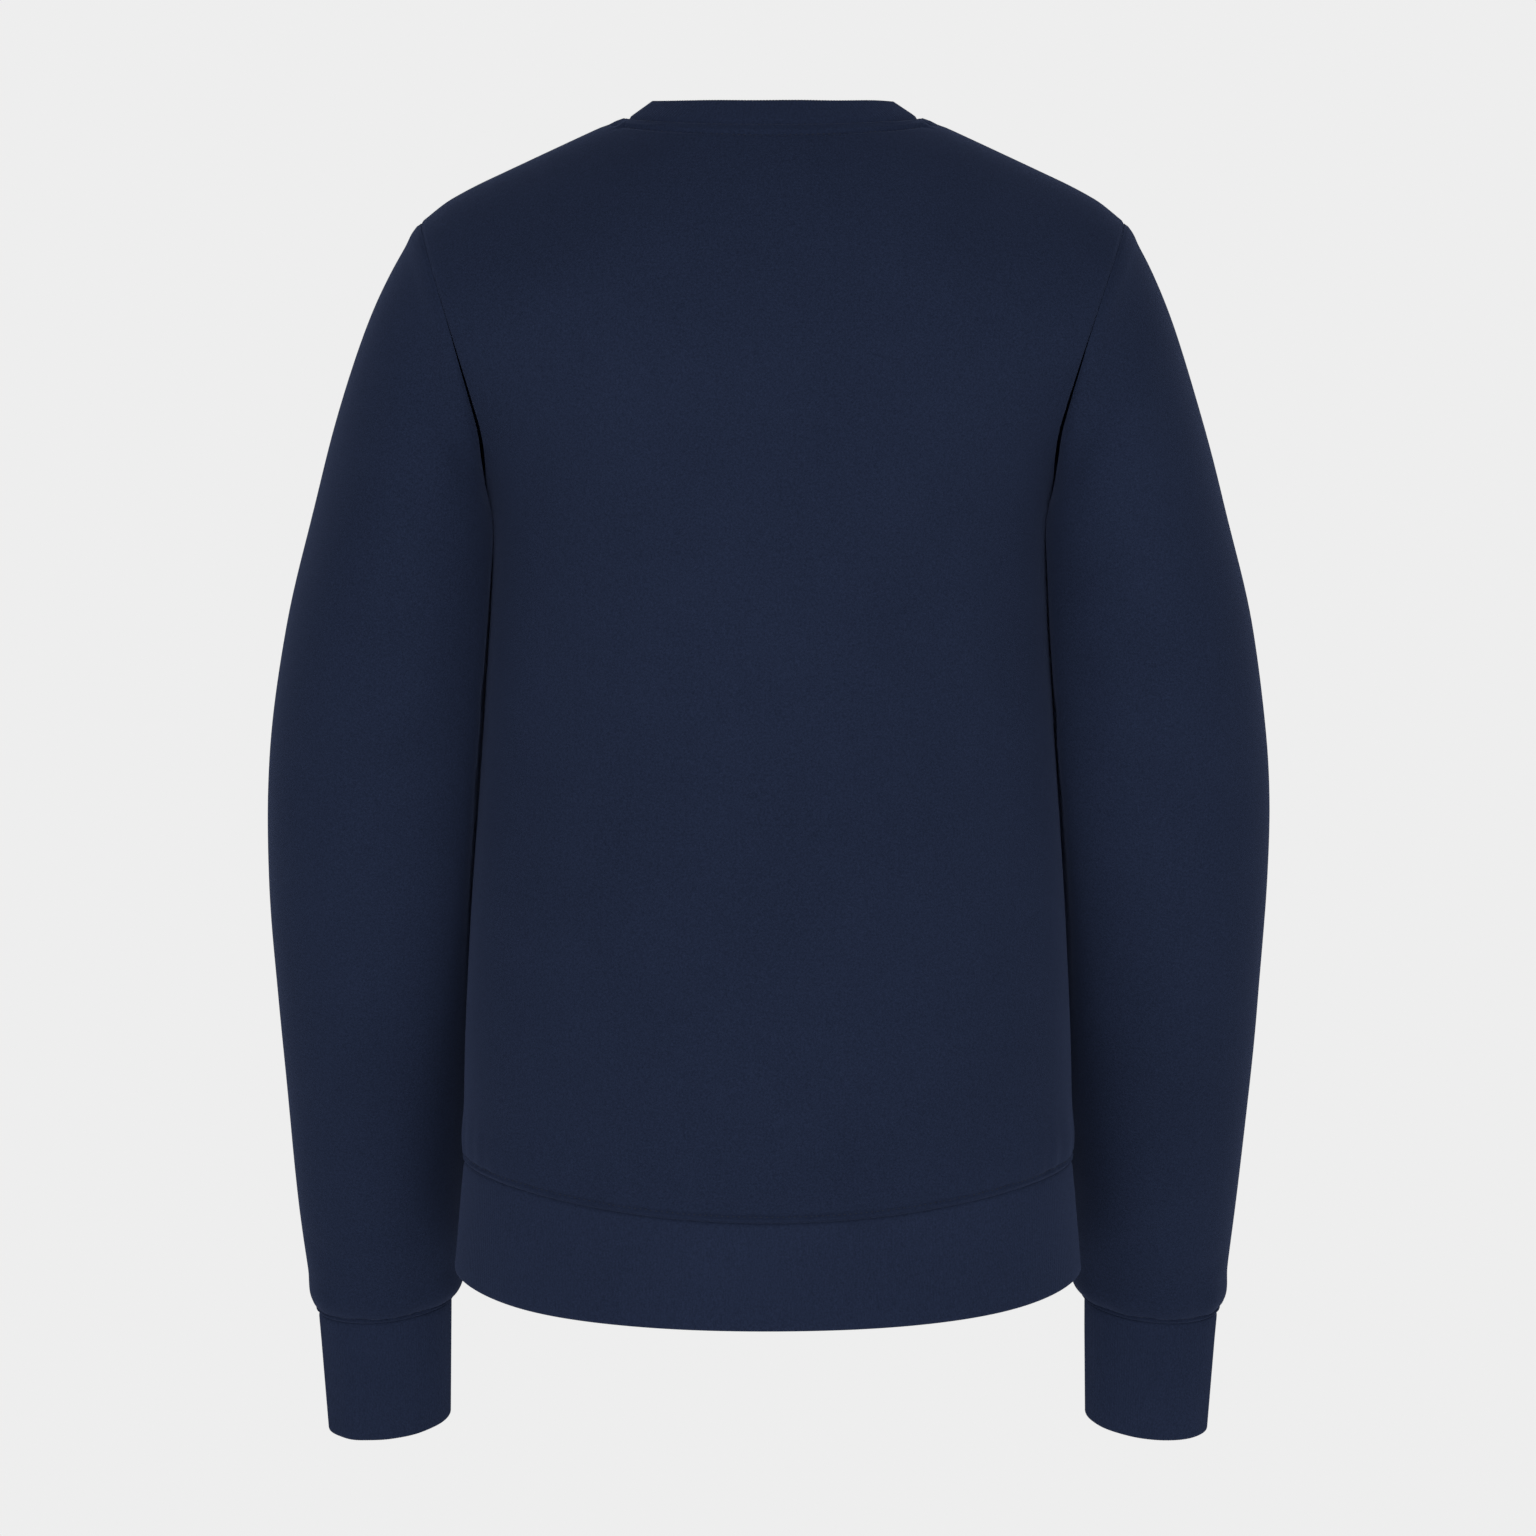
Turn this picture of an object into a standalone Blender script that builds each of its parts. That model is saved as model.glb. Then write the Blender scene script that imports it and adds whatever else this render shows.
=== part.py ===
"""A crewneck sweatshirt in the shape it takes when worn, with no wearer in it.

It is built from the eight pieces that are cut and sewn: front, back, two sleeves, neck rib, hem rib and
two cuffs. Each is a wall of cloth, and each seam is a narrow gap between two walls.

Frame: +Z up, the front faces -Y and the wearer's left is at +X. The origin is the middle of the neck,
level with the points where the shoulder seams meet the neck rib, which is where a wearer holds it up.
Sizes are in millimetres until a mesh is written, and heights are Z, so those below the neck are negative.
"""

from collections import namedtuple

import bpy
import numpy as np

MM = 0.001

# Cloth
CLOTH_THICKNESS = 2.0
RIB_THICKNESS = 2.8
SEAM_GAP = 0.4
INNER_EDGE_SETBACK = 1.2

# Neck, shoulders and armholes
NECK_HALF_WIDTH = 77.0
BACK_NECK_DROP = 2.0
FRONT_NECK_DROP = 86.0
SHOULDER_HALF_WIDTH = 186.0
SHOULDER_SLOPE = 0.475
SHOULDER_SADDLE = 25.0
SHOULDER_BEND_START = 150.0
SHOULDER_BEND = 0.003
SHOULDER_ROUNDING = 85.0
UNDERARM_HALF_WIDTH = 143.5
UNDERARM_HEIGHT = -205.0
ARMHOLE_CURVE = 1.3
ARMHOLE_WRAP = 0.66
ARMHOLE_FULLNESS = 3.0
SECTION_SQUARENESS = 0.83
SLEEVE_CLEARANCE = 1.6
SLEEVE_PRESS = 2.5

# Hem and ribs
HEM_SEAM_SIDE_HEIGHT = -552.0
HEM_BACK_DROP = 19.0
HEM_FRONT_DROP = 11.0
HEM_RIB_SIDE_HEIGHT = 58.5
HEM_RIB_BACK_HEIGHT = 55.5
HEM_RIB_FRONT_HEIGHT = 58.5
HEM_RIB_FULLNESS = 24.0
HEM_RIB_ROUNDING = 0.15
HEM_RIB_FLARE = 2.0
HEM_RIB_SIDE_FLARE = 3.5
NECK_RIB_HEIGHT = 17.5
NECK_RIB_BACK_LEAN = 44.0
NECK_RIB_SIDE_LEAN = 55.0
NECK_RIB_FRONT_LEAN = 38.0

# Facets
COLUMNS = 5
ARMHOLE_ROWS = 9
LOWER_ROWS = 9
SLEEVE_ROWS_PER_RING = 2
RIB_ROWS = 3

# How deep the body is at each height. Above the underarm the armhole sets the width.
BodyLevel = namedtuple("BodyLevel", "height half_width back_depth front_depth")
BODY_LEVELS = (
    BodyLevel(height=30, half_width=143, back_depth=72, front_depth=66),
    BodyLevel(height=-40, half_width=143, back_depth=86, front_depth=80),
    BodyLevel(height=-110, half_width=143, back_depth=104, front_depth=100),
    BodyLevel(height=-190, half_width=143, back_depth=113, front_depth=121),
    BodyLevel(height=-260, half_width=147.5, back_depth=112, front_depth=124),
    BodyLevel(height=-340, half_width=152.5, back_depth=109, front_depth=118),
    BodyLevel(height=-430, half_width=158.5, back_depth=112, front_depth=114),
    BodyLevel(height=-500, half_width=161.5, back_depth=117, front_depth=114),
    BodyLevel(height=-575, half_width=162, back_depth=115, front_depth=112),
)

# The left sleeve ring by ring, from the cap to the cuff seam, then the cuff's folded edge. The ring runs
# through its outer and its inner point, and reaches half_depth to the front and back of middle_y.
SleeveRing = namedtuple("SleeveRing", "outer_x outer_z inner_x inner_z middle_y half_depth")
SLEEVE_RINGS = (
    SleeveRing(outer_x=202, outer_z=-82, inner_x=143.0, inner_z=-210, middle_y=0, half_depth=64),
    SleeveRing(outer_x=215, outer_z=-113, inner_x=141.0, inner_z=-216, middle_y=-1, half_depth=67),
    SleeveRing(outer_x=230, outer_z=-161, inner_x=140.0, inner_z=-224, middle_y=-2, half_depth=68),
    SleeveRing(outer_x=243, outer_z=-212, inner_x=140.0, inner_z=-236, middle_y=-4, half_depth=67),
    SleeveRing(outer_x=256, outer_z=-268, inner_x=141.0, inner_z=-278, middle_y=-5, half_depth=63.5),
    SleeveRing(outer_x=265, outer_z=-335, inner_x=145.0, inner_z=-337, middle_y=-9, half_depth=59),
    SleeveRing(outer_x=266.5, outer_z=-404, inner_x=151.0, inner_z=-400, middle_y=-20, half_depth=54),
    SleeveRing(outer_x=263.5, outer_z=-470, inner_x=156.0, inner_z=-462, middle_y=-37, half_depth=49),
    SleeveRing(outer_x=259, outer_z=-530, inner_x=161.5, inner_z=-520, middle_y=-55, half_depth=44),
    SleeveRing(outer_x=254, outer_z=-590, inner_x=166.0, inner_z=-579, middle_y=-73, half_depth=39),
    SleeveRing(outer_x=249, outer_z=-633, inner_x=168.5, inner_z=-624, middle_y=-84, half_depth=33.5),
    SleeveRing(outer_x=245.5, outer_z=-647, inner_x=173, inner_z=-640, middle_y=-88, half_depth=28.5),
)
CUFF_EDGE = SleeveRing(
    outer_x=241.5, outer_z=-716, inner_x=174.5, inner_z=-706, middle_y=-107, half_depth=25.5
)

BACK = 1
FRONT = -1
LEFT = 1
RIGHT = -1

# Colours as linear RGB
NAVY_FLEECE = (0.0150, 0.0205, 0.0400)
NAVY_RIB = (0.0170, 0.0225, 0.0420)
CLOTH_ROUGHNESS = 0.92


def at_each(values, i):
    """The value numbered i at each place. values has one number, or one point for each place, per row."""
    if values.ndim == 1:
        return values[i]
    return np.take_along_axis(values, i[None, ..., None], axis=0)[0]


def smooth_through(knots, values, at):
    """A smooth curve through (knots, values), read at the places given. The knots rise."""
    knots = np.asarray(knots, float)
    values = np.asarray(values, float)
    at = np.clip(at, knots[0], knots[-1])
    gaps = np.diff(knots)
    shape = (-1,) + (1,) * (values.ndim - 1)
    slopes = np.diff(values, axis=0) / gaps.reshape(shape)
    weight = (gaps[1:] / (gaps[1:] + gaps[:-1])).reshape(shape)
    inner = slopes[:-1] * weight + slopes[1:] * (1 - weight)
    tangents = np.concatenate([slopes[:1], inner, slopes[-1:]])
    i = np.clip(np.searchsorted(knots, at, side="right") - 1, 0, len(knots) - 2)
    step = gaps[i]
    t = (at - knots[i]) / step
    if values.ndim > 1:
        t, step = t[..., None], step[..., None]
    first, second = at_each(values, i), at_each(values, i + 1)
    start, end = at_each(tangents, i), at_each(tangents, i + 1)
    course = (1 + 2 * t) * (1 - t) ** 2 * first + t**2 * (3 - 2 * t) * second
    return course + step * (t * (1 - t) ** 2 * start - t**2 * (1 - t) * end)


def body_column(name, height):
    """One column of BODY_LEVELS, read at the heights given."""
    levels = sorted(BODY_LEVELS)
    return smooth_through(
        [level.height for level in levels], [getattr(level, name) for level in levels], height
    )


def ridge_height(x):
    """The height of the line along the top of the shoulders, carried on over the neck in a saddle."""
    outwards = np.hypot(x, SHOULDER_SADDLE) - np.hypot(NECK_HALF_WIDTH, SHOULDER_SADDLE)
    bend = np.maximum(0, np.abs(x) - SHOULDER_BEND_START)
    return -SHOULDER_SLOPE * outwards - SHOULDER_BEND * bend**2


def armhole_drop(height):
    """How far down the armhole a height is: 0 at the shoulder and above, 1 at the underarm and below."""
    shoulder = ridge_height(SHOULDER_HALF_WIDTH)
    return np.clip((height - shoulder) / (UNDERARM_HEIGHT - shoulder), 0, 1)


def armhole_angle(drop):
    """How far round the body's section a panel reaches: a quarter turn at the underarm, less above."""
    return np.arccos(ARMHOLE_WRAP * (1 - drop**ARMHOLE_FULLNESS))


def section_half_width(height):
    """The half width of the body's section, which above the underarm widens under the shoulders."""
    drop = armhole_drop(height)
    reach = SHOULDER_HALF_WIDTH - UNDERARM_HALF_WIDTH
    armhole = UNDERARM_HALF_WIDTH + reach * (1 - drop) ** ARMHOLE_CURVE
    side = body_column("half_width", np.minimum(height, UNDERARM_HEIGHT))
    return np.where(drop < 1, armhole / np.sin(armhole_angle(drop)), side)


def column_angle(column, edge_angle):
    """The angle round the body's section at a column, when the panel's edge is at edge_angle."""
    neck_share = np.arcsin(NECK_HALF_WIDTH / section_half_width(0.0)) / armhole_angle(0)
    reach = np.abs(column)
    share = np.where(
        reach < 1,
        neck_share * np.sin(np.pi / 2 * reach),
        neck_share + (1 - neck_share) * (reach - 1),
    )
    return np.sign(column) * share * edge_angle


def top_height(side, column):
    """The height of a panel's top edge: the neckline in the middle, and the shoulder seam outside it."""
    x = section_half_width(0.0) * np.sin(column_angle(column, armhole_angle(0)))
    from_shoulder = 1 - np.clip(np.abs(x) / NECK_HALF_WIDTH, 0, 1) ** 2.4
    if side == BACK:
        neckline = -BACK_NECK_DROP * from_shoulder
    else:
        neckline = -FRONT_NECK_DROP * from_shoulder**0.6
    return np.where(np.abs(column) < 1, neckline, ridge_height(x))


def hem_seam_height(side, angle):
    """The height of the hem seam, which hangs lower in the middle of the front and back."""
    drop = HEM_BACK_DROP if side == BACK else HEM_FRONT_DROP
    return HEM_SEAM_SIDE_HEIGHT - drop * np.cos(angle) ** 2


def panel_point(side, column, row):
    """A point on the front or back. column runs from -2 to 2: the neckline lies between -1 and 1, the
    shoulder seams outside it. row runs from 0 at the top edge to 1 at the underarm and 2 at the hem."""
    drop = np.where(row < 1, (1 - np.cos(np.pi * row)) / 2, row)
    top = top_height(side, column)
    hem = hem_seam_height(side, column_angle(column, np.pi / 2))
    z = top + (UNDERARM_HEIGHT - top) * np.clip(drop, 0, 1)
    z = z + (hem - UNDERARM_HEIGHT) * np.clip(drop - 1, 0, 1)
    angle = column_angle(column, armhole_angle(armhole_drop(z)))
    x = section_half_width(z) * np.sin(angle)
    below_ridge = np.clip((ridge_height(x) - z) / SHOULDER_ROUNDING, 0, 1)
    depth = body_column("back_depth" if side == BACK else "front_depth", z)
    section = np.clip(np.cos(angle), 0, 1) ** SECTION_SQUARENESS
    y = side * depth * section * np.sqrt(1 - (1 - below_ridge) ** 2)
    return np.stack(np.broadcast_arrays(x, y, z), axis=-1)


def body_round(turn, reach, row):
    """A point round the whole body, out to the columns at reach. turn runs from 0 at the left over the
    back to twice the reach, and on over the front."""
    turn = turn % (4 * reach)
    over_back = panel_point(BACK, reach - turn, row)
    over_front = panel_point(FRONT, turn - 3 * reach, row)
    return np.where((turn <= 2 * reach)[..., None], over_back, over_front)


def armhole_point(turn):
    """A point on the left armhole. turn runs from 0 at the shoulder over the back to 1 at the underarm,
    and on over the front to 2."""
    turn = turn % 2
    edge = np.full_like(turn, 2.0)
    over_back = panel_point(BACK, edge, np.minimum(turn, 1))
    over_front = panel_point(FRONT, edge, np.minimum(2 - turn, 1))
    return np.where((turn <= 1)[..., None], over_back, over_front)


def ring_point(ring, lean, turn):
    """A point on one sleeve ring. lean lowers the back of the ring where the sleeve slopes forward."""
    out, depth = np.cos(np.pi * turn), np.sin(np.pi * turn) * ring.half_depth
    x = (ring.outer_x + ring.inner_x) / 2 + out * (ring.outer_x - ring.inner_x) / 2
    z = (ring.outer_z + ring.inner_z) / 2 + out * (ring.outer_z - ring.inner_z) / 2 - lean * depth
    return np.stack([x, ring.middle_y + depth, z], axis=-1)


def ring_leans(rings):
    """For each ring, how far forward the sleeve runs there for each millimetre down."""
    heights = np.array([(ring.outer_z + ring.inner_z) / 2 for ring in rings])
    leans = np.gradient(np.array([ring.middle_y for ring in rings], float), heights)
    return np.clip(leans, 0, None)


def body_side(y, z):
    """How far out the body's side is, in front of or behind the side seam, below the underarm."""
    z = np.minimum(z, UNDERARM_HEIGHT)
    depth = np.where(y > 0, body_column("back_depth", z), body_column("front_depth", z))
    section = np.clip(np.abs(y) / depth, 0, 1) ** (1 / SECTION_SQUARENESS)
    return body_column("half_width", z) * np.sqrt(1 - section**2)


def sleeve_point(turn, along):
    """A point on the left sleeve. along runs from 0 at the armhole, one for each ring, to the cuff seam.
    The sleeve is pressed flat where it lies against the body's side."""
    turn, along = np.broadcast_arrays(np.asarray(turn, float), np.asarray(along, float))
    leans = ring_leans(SLEEVE_RINGS)
    rings = [armhole_point(turn) + (SEAM_GAP, 0, 0)]
    rings += [ring_point(ring, lean, turn) for ring, lean in zip(SLEEVE_RINGS, leans)]
    points = smooth_through(np.arange(len(rings)), rings, along)
    away = body_side(points[..., 1], points[..., 2]) + SLEEVE_CLEARANCE - points[..., 0]
    press = SLEEVE_PRESS * np.logaddexp(0, away / SLEEVE_PRESS)
    below_seam = np.clip(along, 0, 1) * (points[..., 2] < 0)
    points[..., 0] += press * below_seam
    return points


def cuff_point(turn, along):
    """A point on the left cuff, from the cuff seam at 0 to its folded edge at 1."""
    leans = ring_leans(SLEEVE_RINGS + (CUFF_EDGE,))
    seam = ring_point(SLEEVE_RINGS[-1], ring_leans(SLEEVE_RINGS)[-1], turn)
    edge = ring_point(CUFF_EDGE, leans[-1], turn)
    return seam + (edge - seam) * along[..., None]


def neck_rib_point(turn, along):
    """A point on the neck rib, from the neck seam at 0 to its folded edge at 1. It leans inwards."""
    seam = body_round(turn, 1, np.zeros_like(turn))
    inwards = -seam * (1, 1, 0)
    inwards /= np.linalg.norm(inwards, axis=-1, keepdims=True)
    middle_lean = np.where(turn % 4 <= 2, NECK_RIB_BACK_LEAN, NECK_RIB_FRONT_LEAN)
    to_middle = np.sin(np.pi / 2 * turn) ** 2
    lean = np.radians(NECK_RIB_SIDE_LEAN + (middle_lean - NECK_RIB_SIDE_LEAN) * to_middle)
    up = np.array((0.0, 0.0, 1.0))
    direction = inwards * np.sin(lean)[..., None] + up * np.cos(lean)[..., None]
    return seam + NECK_RIB_HEIGHT * along[..., None] * direction


def hem_rib_point(turn, along):
    """A point on the hem rib, from the hem seam at 0 to its folded edge at 1. The rib is tallest between
    the sides and the middle, and stands out a little at the sides."""
    seam = body_round(turn, 2, np.full_like(turn, 2.0))
    back = turn % 8 <= 4
    lowness = (HEM_SEAM_SIDE_HEIGHT - seam[..., 2]) / np.where(back, HEM_BACK_DROP, HEM_FRONT_DROP)
    lowness = np.clip(lowness, 0, 1)
    middle_height = np.where(back, HEM_RIB_BACK_HEIGHT, HEM_RIB_FRONT_HEIGHT)
    rounding = HEM_RIB_ROUNDING
    fall = (np.sqrt(lowness + rounding**2) - rounding) / (np.hypot(1, rounding) - rounding)
    height = HEM_RIB_SIDE_HEIGHT + (middle_height - HEM_RIB_SIDE_HEIGHT) * lowness
    height = height + HEM_RIB_FULLNESS * (fall - lowness)
    flare = HEM_RIB_FLARE + HEM_RIB_SIDE_FLARE * (1 - lowness) ** 8
    outwards = seam * (1, 1, 0)
    outwards /= np.linalg.norm(outwards, axis=-1, keepdims=True)
    down = np.array((0.0, 0.0, -1.0))
    return seam + along[..., None] * (height[..., None] * down + flare[..., None] * outwards)


def normals_of(surface, u, v, u_range, v_range, outwards):
    """Unit normals of surface(u, v), from points a small step away that stay within the ranges."""
    step = 1e-3

    def along_first(sign):
        return surface(np.clip(u + sign * step, *u_range), v)

    def along_second(sign):
        return surface(u, np.clip(v + sign * step, *v_range))

    normals = np.cross(along_first(1) - along_first(-1), along_second(1) - along_second(-1))
    return outwards * normals / np.linalg.norm(normals, axis=-1, keepdims=True)


def pulled_back(grid, rows_only, distance):
    """The grid with its outermost points moved that far inwards, towards their neighbours."""
    grid = grid.copy()
    edges = [(0, 1), (-1, -2)]
    for edge, inner in edges:
        step = grid[edge] - grid[inner]
        grid[edge] -= distance * step / np.linalg.norm(step, axis=-1, keepdims=True)
    if not rows_only:
        for edge, inner in edges:
            step = grid[:, edge] - grid[:, inner]
            grid[:, edge] -= distance * step / np.linalg.norm(step, axis=-1, keepdims=True)
    return grid


def wall_faces(rows, columns, closed):
    """The faces of a wall whose outer points come first and whose inner points follow, row by row."""
    inner = rows * columns

    def at(row, column):
        return row * columns + column % columns

    faces = []
    steps = columns if closed else columns - 1
    for row in range(rows - 1):
        for column in range(steps):
            quad = [
                at(row, column),
                at(row, column + 1),
                at(row + 1, column + 1),
                at(row + 1, column),
            ]
            faces.append(quad)
            faces.append([inner + corner for corner in reversed(quad)])
    for column in range(steps):
        for row, flip in ((0, False), (rows - 1, True)):
            a, b = at(row, column), at(row, column + 1)
            rim = [b, a, inner + a, inner + b]
            faces.append(rim[::-1] if flip else rim)
    if not closed:
        for row in range(rows - 1):
            for column, flip in ((0, True), (columns - 1, False)):
                a, b = at(row, column), at(row + 1, column)
                rim = [b, a, inner + a, inner + b]
                faces.append(rim[::-1] if flip else rim)
    return faces


def make_wall(name, surface, u, v, thickness, material, outwards, closed=False, mirrored=False):
    """Makes one cloth wall as an object: surface(u, v) is its outer face, u across or round, v down."""
    u_grid, v_grid = np.meshgrid(u, v)
    u_range = (-np.inf, np.inf) if closed else (u[0], u[-1])
    outer = surface(u_grid, v_grid)
    inner = outer - thickness * normals_of(
        surface, u_grid, v_grid, u_range, (min(v), max(v)), outwards
    )
    outer = pulled_back(outer, closed, SEAM_GAP / 2)
    inner = pulled_back(inner, closed, SEAM_GAP / 2 + INNER_EDGE_SETBACK)
    points = np.concatenate([outer.reshape(-1, 3), inner.reshape(-1, 3)]) * MM
    faces = wall_faces(len(v), len(u), closed)
    if mirrored:
        points = points * (-1, 1, 1)
    if mirrored != (outwards < 0):
        faces = [face[::-1] for face in faces]
    mesh = bpy.data.meshes.new(name)
    mesh.from_pydata(points.tolist(), [], faces)
    mesh.materials.append(material)
    mesh.shade_smooth()
    mesh.set_sharp_from_angle(angle=np.radians(50))
    made = bpy.data.objects.new(name, mesh)
    bpy.context.scene.collection.objects.link(made)
    return made


def make_material(name, colour):
    """A plain cloth material."""
    material = bpy.data.materials.new(name)
    material.use_nodes = True
    shader = material.node_tree.nodes["Principled BSDF"]
    shader.inputs["Base Color"].default_value = (*colour, 1.0)
    shader.inputs["Roughness"].default_value = CLOTH_ROUGHNESS
    shader.inputs["Metallic"].default_value = 0.0
    return material


def make_body(fleece):
    """The front and back panels."""
    columns = np.linspace(-2, 2, 4 * COLUMNS + 1)
    rows = np.concatenate([np.linspace(0, 1, ARMHOLE_ROWS + 1), np.linspace(1, 2, LOWER_ROWS + 1)[1:]])
    for name, side in (("front", FRONT), ("back", BACK)):

        def surface(column, row, side=side):
            return panel_point(side, column, row)

        make_wall(name, surface, columns, rows, CLOTH_THICKNESS, fleece, outwards=side)


def make_sleeves(fleece, rib):
    """The two sleeves and their cuffs. The right ones mirror the left ones."""
    turns = np.linspace(0, 2, 2 * ARMHOLE_ROWS, endpoint=False)
    rings = len(SLEEVE_RINGS)
    rows = np.linspace(0, rings, rings * SLEEVE_ROWS_PER_RING + 1)
    cuff_rows = np.linspace(0, 1, RIB_ROWS + 1)
    for name, side in (("left", LEFT), ("right", RIGHT)):
        mirrored = side == RIGHT
        make_wall(
            f"sleeve_{name}", sleeve_point, turns, rows, CLOTH_THICKNESS, fleece,
            outwards=-1, closed=True, mirrored=mirrored,
        )  # fmt: skip
        make_wall(
            f"cuff_{name}", cuff_point, turns, cuff_rows, RIB_THICKNESS, rib,
            outwards=-1, closed=True, mirrored=mirrored,
        )  # fmt: skip


def make_ribs(rib):
    """The neck rib and the hem rib."""
    rows = np.linspace(0, 1, RIB_ROWS + 1)
    neck = np.linspace(0, 4, 4 * COLUMNS, endpoint=False)
    hem = np.linspace(0, 8, 8 * COLUMNS, endpoint=False)
    make_wall("neck_rib", neck_rib_point, neck, rows, RIB_THICKNESS, rib, outwards=1, closed=True)
    make_wall("hem_rib", hem_rib_point, hem, rows, RIB_THICKNESS, rib, outwards=-1, closed=True)


def clear_scene():
    """Removes every object, so that only the sweatshirt is in the file."""
    for made in list(bpy.data.objects):
        bpy.data.objects.remove(made, do_unlink=True)


def main():
    """Builds the sweatshirt."""
    clear_scene()
    fleece = make_material("navy_fleece", NAVY_FLEECE)
    rib = make_material("navy_rib", NAVY_RIB)
    make_body(fleece)
    make_sleeves(fleece, rib)
    make_ribs(rib)


main()
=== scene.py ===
"""Dresses the crewneck sweatshirt for rendering.

Each piece that is cut and sewn becomes a thin shell of cloth on its CAD wall's form, with soft creases,
sunk seams, cover stitching and knitted ribs. Sizes are in millimetres until a mesh is written. +Z is up,
the front faces -Y, the wearer's left is at +X, and heights are measured from the shoulder's neck points.
"""

import logging  # noqa: E402
from collections.abc import Callable, Sequence  # noqa: E402
from dataclasses import dataclass, replace  # noqa: E402
from enum import Enum  # noqa: E402
from math import cos, radians, sin  # noqa: E402

import bpy  # noqa: E402
import numpy as np  # noqa: E402
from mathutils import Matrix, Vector  # noqa: E402


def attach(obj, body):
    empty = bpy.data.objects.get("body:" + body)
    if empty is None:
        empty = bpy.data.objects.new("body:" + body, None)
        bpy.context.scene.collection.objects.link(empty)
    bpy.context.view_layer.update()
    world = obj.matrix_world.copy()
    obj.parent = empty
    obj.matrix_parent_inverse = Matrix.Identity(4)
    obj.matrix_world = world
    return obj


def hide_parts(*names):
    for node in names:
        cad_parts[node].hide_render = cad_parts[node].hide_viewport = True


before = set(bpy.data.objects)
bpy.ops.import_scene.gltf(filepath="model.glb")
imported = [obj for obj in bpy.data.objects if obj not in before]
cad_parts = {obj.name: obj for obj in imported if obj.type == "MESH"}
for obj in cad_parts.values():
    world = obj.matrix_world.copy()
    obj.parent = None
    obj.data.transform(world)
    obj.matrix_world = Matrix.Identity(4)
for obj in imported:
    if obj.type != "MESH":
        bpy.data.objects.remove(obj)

MM = 0.001
UP = np.array((0.0, 0.0, 1.0))
LOG = logging.getLogger("sweatshirt")

Surface = Callable[[np.ndarray, np.ndarray], np.ndarray]


class Side(Enum):
    """Which panel of the body, as the direction in Y that it faces."""

    FRONT = -1
    BACK = 1


class Hand(Enum):
    """Which sleeve, as the direction in X that it lies in."""

    LEFT = 1
    RIGHT = -1


class Slot(Enum):
    """The record's material slots."""

    FLEECE = "navy_fleece"
    RIB = "navy_rib"


# ---------------------------------------------------------------- curves and grids


def at_each(values: np.ndarray, i: np.ndarray) -> np.ndarray:
    """Picks the value numbered i at each place.

    Args:
        values: one number per row, or one point per row for each place.
        i: the row to read at each place.

    Returns:
        The picked numbers or points.
    """
    if values.ndim == 1:
        return values[i]
    return np.take_along_axis(values, i[None, ..., None], axis=0)[0]


def smooth_through(knots: Sequence[float], values: Sequence, at: np.ndarray) -> np.ndarray:
    """Reads a smooth curve through knots: cubic pieces whose slope at a knot is the mean of its two sides.

    Args:
        knots: where the values stand, rising.
        values: a number or an array of points for each knot.
        at: where to read the curve.

    Returns:
        The curve's value at each place.
    """
    knots, values = np.asarray(knots, float), np.asarray(values, float)
    at = np.clip(at, knots[0], knots[-1])
    gaps = np.diff(knots)
    shape = (-1,) + (1,) * (values.ndim - 1)
    slopes = np.diff(values, axis=0) / gaps.reshape(shape)
    weight = (gaps[1:] / (gaps[1:] + gaps[:-1])).reshape(shape)
    inner = slopes[:-1] * weight + slopes[1:] * (1 - weight)
    tangents = np.concatenate([slopes[:1], inner, slopes[-1:]])
    i = np.clip(np.searchsorted(knots, at, side="right") - 1, 0, len(knots) - 2)
    step = gaps[i]
    t = (at - knots[i]) / step
    if values.ndim > 1:
        t, step = t[..., None], step[..., None]
    first, second = at_each(values, i), at_each(values, i + 1)
    start, end = at_each(tangents, i), at_each(tangents, i + 1)
    course = (1 + 2 * t) * (1 - t) ** 2 * first + t**2 * (3 - 2 * t) * second
    return course + step * (t * (1 - t) ** 2 * start - t**2 * (1 - t) * end)


def eased(value: np.ndarray, start: float, end: float) -> np.ndarray:
    """A smooth step: 0 at start, 1 at end, by 3t^2 - 2t^3 between them."""
    t = np.clip((np.asarray(value, float) - start) / (end - start), 0, 1)
    return t * t * (3 - 2 * t)


def bump(distance: np.ndarray, width: float) -> np.ndarray:
    """A soft bell: 1 at distance 0, falling as exp(-(distance / width)^2)."""
    return np.exp(-((distance / width) ** 2))


def graded(start: float, end: float, count: int, crowding: float = 0.75) -> np.ndarray:
    """Places from start to end that lie closer together near both: t - crowding * sin(2 pi t) / (2 pi)."""
    t = np.linspace(0, 1, count)
    return start + (end - start) * (t - crowding * np.sin(2 * np.pi * t) / (2 * np.pi))


def lengths_along(points: np.ndarray, axis: int) -> np.ndarray:
    """Measures a grid along its lines.

    Args:
        points: a grid of points.
        axis: 0 to measure down the columns, 1 to measure along the rows.

    Returns:
        For each point, the length of its line from the first point to it.
    """
    steps = np.linalg.norm(np.diff(points, axis=axis), axis=-1)
    return np.insert(np.cumsum(steps, axis=axis), 0, 0, axis=axis)


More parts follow.
